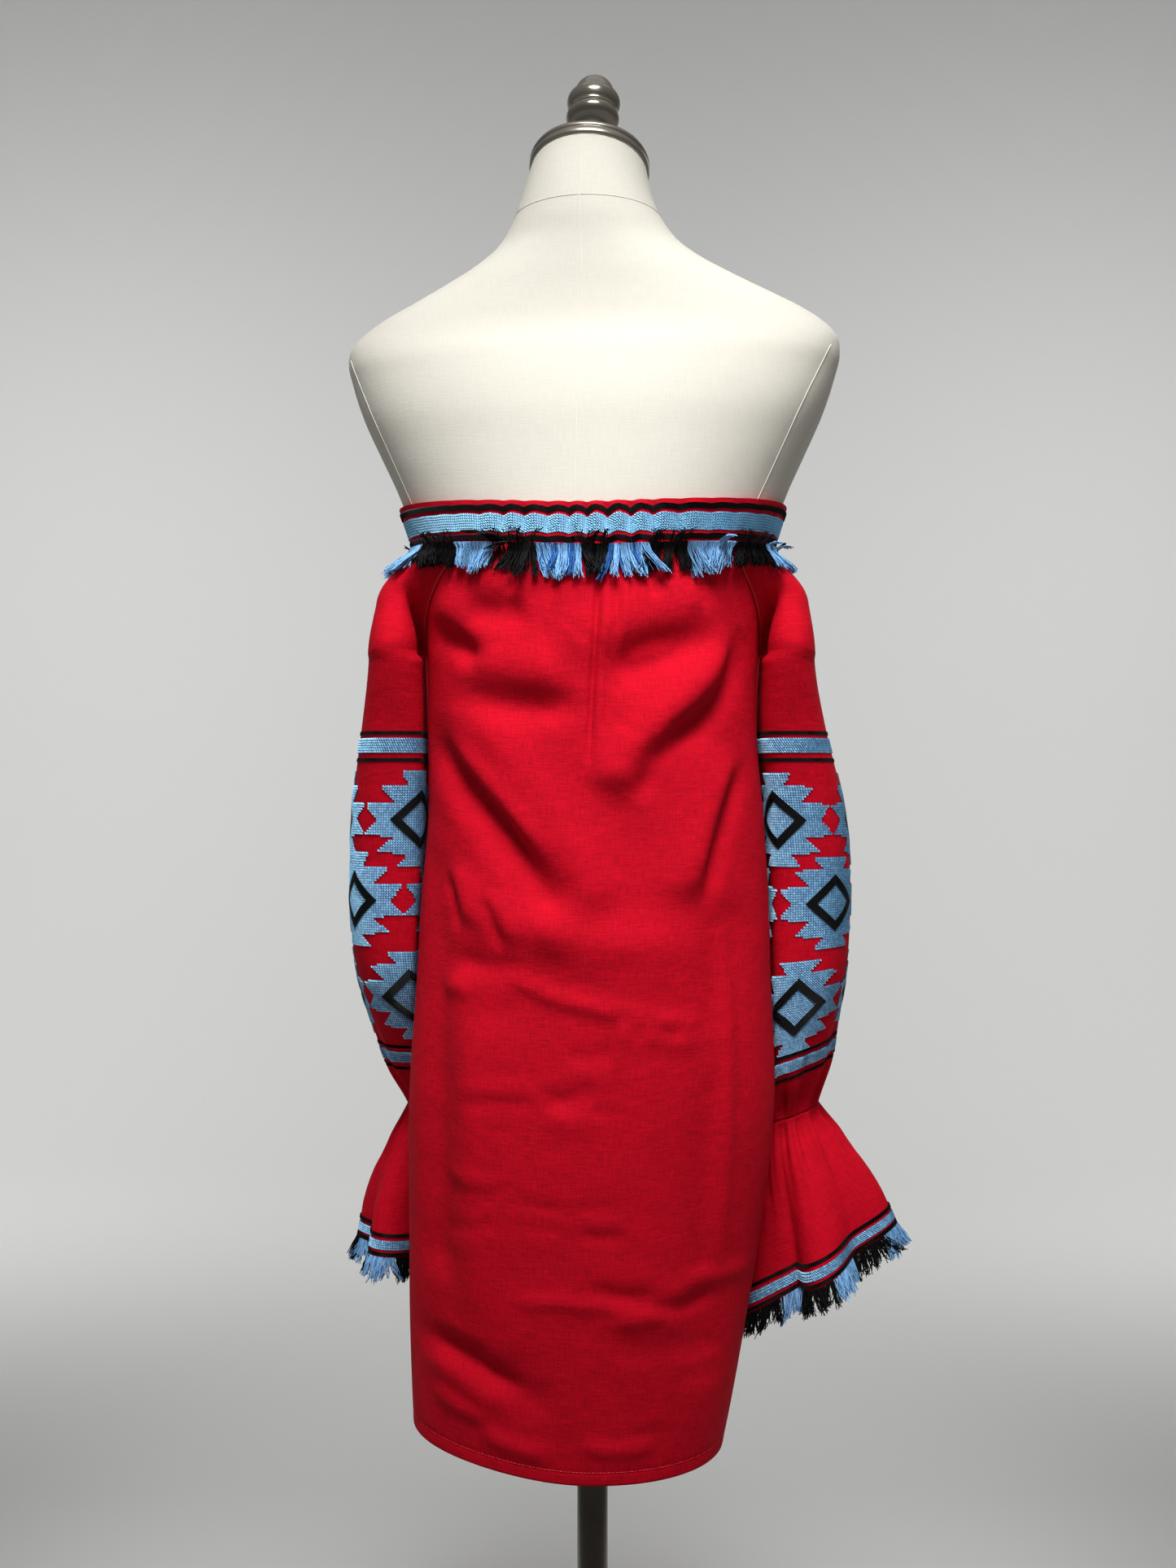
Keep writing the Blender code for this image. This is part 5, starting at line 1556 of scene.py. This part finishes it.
def gathered_wave(angle):
    """The wave of the gathers along the band, strongest at the middle of the back and front."""
    from_back = (angle + 180) % 360 - 180
    from_middle = np.minimum(np.abs(from_back), 180 - np.abs(from_back))
    strength = 0.12 + 0.88 * np.exp(-((from_middle / 40.0) ** 4))
    strength = strength * (0.75 + 0.25 * np.sin(np.radians(7 * angle + 30)))
    wander = 34 * np.sin(np.radians(5 * angle)) + 22 * np.sin(np.radians(13 * angle + 80))
    turn = np.radians(GATHERS_ROUND * angle + wander)
    return strength * (1.25 * np.arcsin(np.sin(turn)) / 1.5708 + 0.25 * np.sin(2 * turn + 1.0))


def band_place(angle, down):
    """A point of the band's outer face. down runs from 0 at its top edge to 1 at its foot."""
    angle, down = np.broadcast_arrays(np.asarray(angle, float), np.asarray(down, float))
    wave = gathered_wave(angle)
    inside = np.clip(down, 0, 1)
    held = 0.35 + 0.65 * np.sin(np.pi * inside) ** 0.6
    height = band_top(angle) - down * BAND_HEIGHT + GATHER_WAVER * wave * held * (1 - 0.45 * inside)
    standing = PUCKER_RISE * (1 + wave * np.cos(2.2 * np.pi * (inside - 0.35)))
    off = BAND_OFF_FORM + BAND_WALL + standing
    return polar(angle, form_radius(angle, height) + off, height)


def band_frames(angle, down):
    """Frames of the band's face, with the last direction outwards."""
    step_angle, step_down = 0.3, 0.02
    point = band_place(angle, down)
    sideways = band_place(angle + step_angle, down) - band_place(angle - step_angle, down)
    downwards = band_place(angle, down + step_down) - band_place(angle, down - step_down)
    return point, unit(sideways), unit(downwards), unit(np.cross(downwards, sideways))


class DRESS_OT_band(bpy.types.Operator):
    """Wrap the elasticated neckline band, with its cords and blue strip"""

    bl_idname = "dress.band"
    bl_label = "Neckline band"

    def execute(self, context):
        sizes = context.scene.dress_sizes
        angles = np.linspace(-180, 180, BAND_STEPS)
        downs = np.array([0, 0.02, 0.06, 0.14, 0.22, 0.30, 0.42, 0.54, 0.66, 0.76, 0.84, 0.92, 0.97, 1])
        outer = band_place(angles[None, :], downs[:, None])
        inner_height = band_top(angles)[None, :] - np.array([1.0, 0.5, 0.0])[:, None] * BAND_HEIGHT
        inner_radius = form_radius(angles[None, :], inner_height) + BAND_OFF_FORM
        inner = polar(angles[None, :], inner_radius, inner_height)
        points = np.concatenate([outer, inner, outer[:1]])
        made = grid_object("band_linen", points)
        finished(made, "red_linen", ["neck_band"])
        length = float(arc_lengths(outer[6])[-1])
        declare_sheet(points)
        # The band's stitches take only the upper tones, a painted highlight for the stronger light that falls
        # on the band.
        crosses = Stitching(51, 0.7)
        columns = int(length / sizes.stitch_pitch)
        cell_angles = self.even_angles(columns)
        for row in range(BAND_STRIP_ROWS):
            down = BAND_STRIP_FROM + BAND_STRIP_OVER * (row + 0.5) / BAND_STRIP_ROWS
            point, sideways, _, facing = band_frames(cell_angles, np.full(columns, down))
            size = (length / columns, BAND_STRIP_OVER * BAND_HEIGHT / BAND_STRIP_ROWS, 1.0)
            crosses.add(point + facing * CELL_LIFT, facing, sideways, size)
        crosses.grow_crosses("band_strip")
        satin = Stitching(52)
        count = int(length / sizes.satin_pitch)
        thread_angles = self.even_angles(count)
        for down, height in ((0.17, 0.0046), (0.84, 0.0042)):
            point, sideways, downwards, facing = band_frames(thread_angles, np.full(count, down))
            slanted = unit(downwards + 0.35 * sideways)
            satin.add(point + facing * STITCH_LIFT, facing, slanted, (height, 1.0, 1.0))
        satin.grow_satin("band_cords", 0.0012)
        return {"FINISHED"}

    def even_angles(self, count):
        """Angles that divide the band's length evenly."""
        angles = np.linspace(-180, 180, BAND_STEPS)
        lengths = arc_lengths(band_place(angles, 0.5))
        return np.interp((np.arange(count) + 0.5) / count, lengths / lengths[-1], angles)


# The fringe's groups across the back, left to right: their edges at x, and their yarn.
BLACK, LIGHT, ROYAL = 0, 1, 2
BACK_GROUPS = [
    (-0.130, BLACK),
    (-0.104, LIGHT),
    (-0.074, BLACK),
    (-0.042, ROYAL),
    (-0.009, BLACK),
    (0.012, ROYAL),
    (0.040, BLACK),
    (0.070, LIGHT),
    (0.107, BLACK),
    (0.132, LIGHT),
]
BACK_FRINGE_END = 88.0
FRONT_FRINGE_EDGES = 15
LOCK_WIDTH = 0.0050
LOCK_STRANDS = 22
LOCK_LENGTH = 0.0245
LOCK_SIDE_LOSS = 0.0060
BACKING_STRANDS = 5
BACKING_LENGTH = 0.0225
BACKING_SIDE_LOSS = 0.0050
SPIKE_STRANDS = 3
SPIKE_SHARE = 0.40
CUFF_LOCK_STRANDS = 15
CUFF_LOCK_LENGTH = 0.0195
CUFF_BACKING_LENGTH = 0.0165


class Yarns:
    """Collects fringe strands as chains of points."""

    def __init__(self, seed):
        self.dice = np.random.default_rng(seed)
        self.points, self.edges = [], []
        self.values = {"yarn": [], "tone": [], "thick": []}
        self.total = 0

    def add(self, chains, yarn):
        """Strands of one group, as (strands, points, 3)."""
        count, length = chains.shape[:2]
        self.points.append(chains.reshape(-1, 3))
        first = self.total + np.arange(count)[:, None] * length + np.arange(length - 1)[None, :]
        self.edges.append(np.stack([first, first + 1], -1).reshape(-1, 2))
        self.values["yarn"].append(np.full(count * length, float(yarn)))
        self.values["tone"].append(np.repeat(self.dice.uniform(0.0, 1.0, count), length))
        self.values["thick"].append(np.tile(np.linspace(1.0, 0.75, length), count))
        self.total += count * length

    def grow(self, name, radius, nodes):
        values = {key: np.concatenate(value) for key, value in self.values.items()}
        edges = np.concatenate(self.edges).tolist()
        carrier = carrier_mesh(name + "_chains", np.concatenate(self.points), edges, **values)
        made = grown(name, "yarn_strands", carrier, "mixed_yarn", Radius=radius, Sides=3.0)
        made.data.shade_smooth()
        return finished(made, "mixed_yarn", nodes)


def lock_of_yarn(dice, count, width, length, lean, out, flip=0.0):
    """The strands of one lock: how far they run sideways, down and outwards, in metres.

    They draw together towards the lock's end. flip is how far the lock first stands up.
    """
    share = np.linspace(0, 1, 5)[None, :]
    place = dice.uniform(-1, 1, (count, 1))
    layer = dice.uniform(0, 1, (count, 1))
    own = length * dice.uniform(0.84, 1.08, (count, 1))
    wave = 0.0012 * np.sin(6 * share + dice.uniform(0, 6.28, (count, 1))) * share
    stray = np.cumsum(dice.normal(0, 0.00085, (count, 5)), axis=1) * share
    sideways = width / 2 * place * (1 - 0.5 * share) + lean * own * share**1.4 + wave + stray
    down = own * math.cos(out) * (share * (1 - 1.9 * flip) + 0.50 * flip * share**2)
    outwards = 0.0006 + 0.0030 * layer * (0.4 + 0.6 * share)
    outwards = outwards + own * (math.sin(out) * share**0.8 * (1 - 0.3 * share) + 0.45 * flip * share)
    return sideways, down, outwards + np.cumsum(dice.normal(0, 0.00055, (count, 5)), axis=1) * share


class DRESS_OT_fringes(bpy.types.Operator):
    """Hang the yarn fringe under the band and on both cuffs"""

    bl_idname = "dress.fringes"
    bl_label = "Fringes"

    def execute(self, context):
        sizes = context.scene.dress_sizes
        self.neck(sizes)
        for side, word in SIDES.items():
            self.cuff(sizes, side, word)
        return {"FINISHED"}

    def neck_groups(self):
        """The groups all round as (start angle, end angle, yarn)."""
        angles = np.linspace(-BACK_FRINGE_END, BACK_FRINGE_END, 353)
        x = polar(angles, cap_skin(angles, cloth_top(angles)), 0.0)[:, 0]
        inner_edges = [float(np.interp(edge, x, angles)) for edge, _ in BACK_GROUPS]
        edges = [-BACK_FRINGE_END, *inner_edges, BACK_FRINGE_END]
        yarns = [LIGHT] + [yarn for _, yarn in BACK_GROUPS]
        groups = list(zip(edges, edges[1:], yarns))
        front = np.linspace(BACK_FRINGE_END, 360 - BACK_FRINGE_END, FRONT_FRINGE_EDGES)
        for i, (start, stop) in enumerate(zip(front, front[1:])):
            groups.append((start, stop, BLACK if i % 2 == 0 else (LIGHT, ROYAL, LIGHT)[(i // 2) % 3]))
        return groups

    def neck(self, sizes):
        yarns = Yarns(61)
        dice = yarns.dice
        for start, stop, yarn in self.neck_groups():
            wide = math.degrees(LOCK_WIDTH / BAND_REACH)
            locks = max(2, round((stop - start) / wide))
            fan = dice.normal(0, 0.15)
            splay = dice.choice([0.55, 0.45, -0.30])
            longer = dice.uniform(0.88, 1.10)
            flipped = dice.random() < 0.5
            for i in range(locks):
                aside = (i + 0.5) / locks
                root = start + (stop - start) * aside
                to_side = math.sin(math.radians(root))
                length = (LOCK_LENGTH - LOCK_SIDE_LOSS * to_side**2) * longer * dice.uniform(0.84, 1.10)
                lean = fan + splay * (2 * aside - 1) + dice.normal(0, 0.22) + 0.35 * to_side**9
                out = abs(dice.normal(0.16, 0.10)) + 0.20 * abs(to_side) ** 8
                stands = flipped and dice.random() < 0.30
                flip = dice.uniform(0.5, 1.0) if stands else 0.0
                mixed = yarn == ROYAL and dice.random() < 0.35
                self.hang_lock(yarns, root, LIGHT if mixed else yarn, LOCK_STRANDS, length, lean, out, flip)
                backing = BACKING_LENGTH - BACKING_SIDE_LOSS * to_side**2
                self.hang_lock(yarns, root, yarn, BACKING_STRANDS, backing, 0.3 * lean, 0.03, 0.0)
                if yarn == BLACK:
                    spike, aslant = SPIKE_SHARE * length, dice.normal(0, 0.6)
                    self.hang_lock(yarns, root, yarn, SPIKE_STRANDS, spike, aslant, 0.2, 1.5)
        yarns.grow("neck_yarn", sizes.yarn_radius, ["neck_fringe"])

    def hang_lock(self, yarns, root, yarn, count, length, lean, out, flip):
        """One lock under the band, at an angle round the dress."""
        sideways, down, outwards = lock_of_yarn(yarns.dice, count, LOCK_WIDTH * 1.35, length, lean, out, flip)
        angle = root + np.degrees(sideways / BAND_REACH)
        height = cloth_top(root) + 0.0015 - down
        over_band = 0.0035 * smooth_step((height - cloth_top(root)) / 0.002 + 0.5)
        yarns.add(polar(angle, cap_skin(angle, height) + outwards + over_band, height), yarn)

    def cuff(self, sizes, side, word):
        yarns = Yarns(71 + side)
        dice = yarns.dice
        sleeve = Sleeve(side, *CUFF_LEVELS)
        locks = round(float(sleeve.girth(CUFF_HEM)) / LOCK_WIDTH)
        shares = (np.arange(locks) + 0.5) / locks
        frames = sleeve.frames(shares, np.full(locks, CUFF_HEM + 0.0010))
        for i, (point, aside, below, facing) in enumerate(zip(*frames)):
            yarn = BLACK if int(shares[i] * 14) % 2 else LIGHT
            longest = CUFF_LOCK_LENGTH * dice.uniform(0.85, 1.1)
            lock = (CUFF_LOCK_STRANDS, longest, 1.0)
            backing = (BACKING_STRANDS, CUFF_BACKING_LENGTH, 0.2)
            for count, length, loose in (lock, backing):
                lean = loose * dice.normal(0, 0.22)
                out = loose * dice.normal(0.05, 0.08)
                parts = lock_of_yarn(dice, count, LOCK_WIDTH * 1.4, length, lean, out)
                sideways, down, outwards = (part[..., None] for part in parts)
                yarns.add(point + aside * sideways + below * down + facing * (outwards - 0.0012), yarn)
        yarns.grow(f"cuff_yarn_{word}", sizes.yarn_radius, [f"cuff_fringe_{word}"])


class DRESS_OT_sewing(bpy.types.Operator):
    """Roll the raglan and side seams and sew the hem"""

    bl_idname = "dress.sewing"
    bl_label = "Seams and hem stitches"

    def execute(self, context):
        self.seams()
        self.hem()
        return {"FINISHED"}

    def seams(self):
        """Rolled seams from the band down each raglan line, then down the dress's two sides."""
        share = np.linspace(0, 1, 70)
        paths, thick = [], []
        for side in SIDES:
            for facing in (0, 180):
                angle = side * np.abs(facing - raglan_angle(share))
                height = cloth_top(angle) + share * (UNDERARM - cloth_top(angle))
                off = 0.0004 + 0.0008 * share
                paths.append(polar(angle, dress_radius(angle, height) + off, height))
                thick.append(0.75 + 0.45 * share**4)
            height = np.linspace(UNDERARM + 0.004, float(hem_height(90.0 * side)) + 0.0005, 220)
            below = np.clip((UNDERARM - height) / SEAM_SINKS_OVER, 0, 1)
            off = 0.0011 - 0.0011 * below
            paths.append(polar(90.0 * side, dress_radius(90.0 * side, height) + off, height))
            thick.append(1.2 - 0.6 * below)
        rolled("seam_rolls", paths, SEAM_RADIUS, "red_thread", thick)

    def hem(self):
        """The line of stitches above the hem."""
        stitching = Stitching(81)
        angles = np.linspace(-180, 180, 1441)
        height = hem_height(angles) + HEM_LINE
        lengths = arc_lengths(body_point(angles, height))
        count = int(lengths[-1] / HEM_STITCH_PITCH)
        at = np.interp((np.arange(count) + 0.5) / count, lengths / lengths[-1], angles)
        point = body_point(at, hem_height(at) + HEM_LINE)
        ahead = body_point(at + 0.2, hem_height(at + 0.2) + HEM_LINE)
        below = body_point(at, hem_height(at) + 0.008)
        sideways = unit(ahead - point)
        facing = unit(np.cross(below - point, sideways))
        stitching.add(point - facing * 0.0005, facing, sideways, (HEM_STITCH_LENGTH, 1.0, 1.0))
        stitching.grow("hem_stitches", "satin_threads", "red_thread", "linen", Width=0.0006, Rise=0.0005)


class DRESS_PT_panel(bpy.types.Panel):
    """Lists the dress's pieces, sizes and colours"""

    bl_label = "Embroidered dress"
    bl_idname = "DRESS_PT_panel"
    bl_space_type = "VIEW_3D"
    bl_region_type = "UI"
    bl_category = "Dress"

    def draw(self, context):
        layout = self.layout
        for group in (context.scene.dress_sizes, context.scene.dress_colours):
            for name in group.__annotations__:
                layout.prop(group, name)
        for operator in OPERATORS:
            layout.operator(operator.bl_idname)


OPERATORS = (
    DRESS_OT_stage,
    DRESS_OT_stand,
    DRESS_OT_form,
    DRESS_OT_body,
    DRESS_OT_band,
    DRESS_OT_sleeves,
    DRESS_OT_cuffs,
    DRESS_OT_fringes,
    DRESS_OT_sewing,
)


def register():
    for made in (DressSizes, DressColours, *OPERATORS, DRESS_PT_panel):
        bpy.utils.register_class(made)
    bpy.types.Scene.dress_sizes = PointerProperty(type=DressSizes)
    bpy.types.Scene.dress_colours = PointerProperty(type=DressColours)


def unregister():
    del bpy.types.Scene.dress_colours
    del bpy.types.Scene.dress_sizes
    for made in (DRESS_PT_panel, *reversed(OPERATORS), DressColours, DressSizes):
        bpy.utils.unregister_class(made)


def main():
    register()
    for operator in OPERATORS:
        group, name = operator.bl_idname.split(".")
        getattr(getattr(bpy.ops, group), name)()


if __name__ == "__main__":
    main()
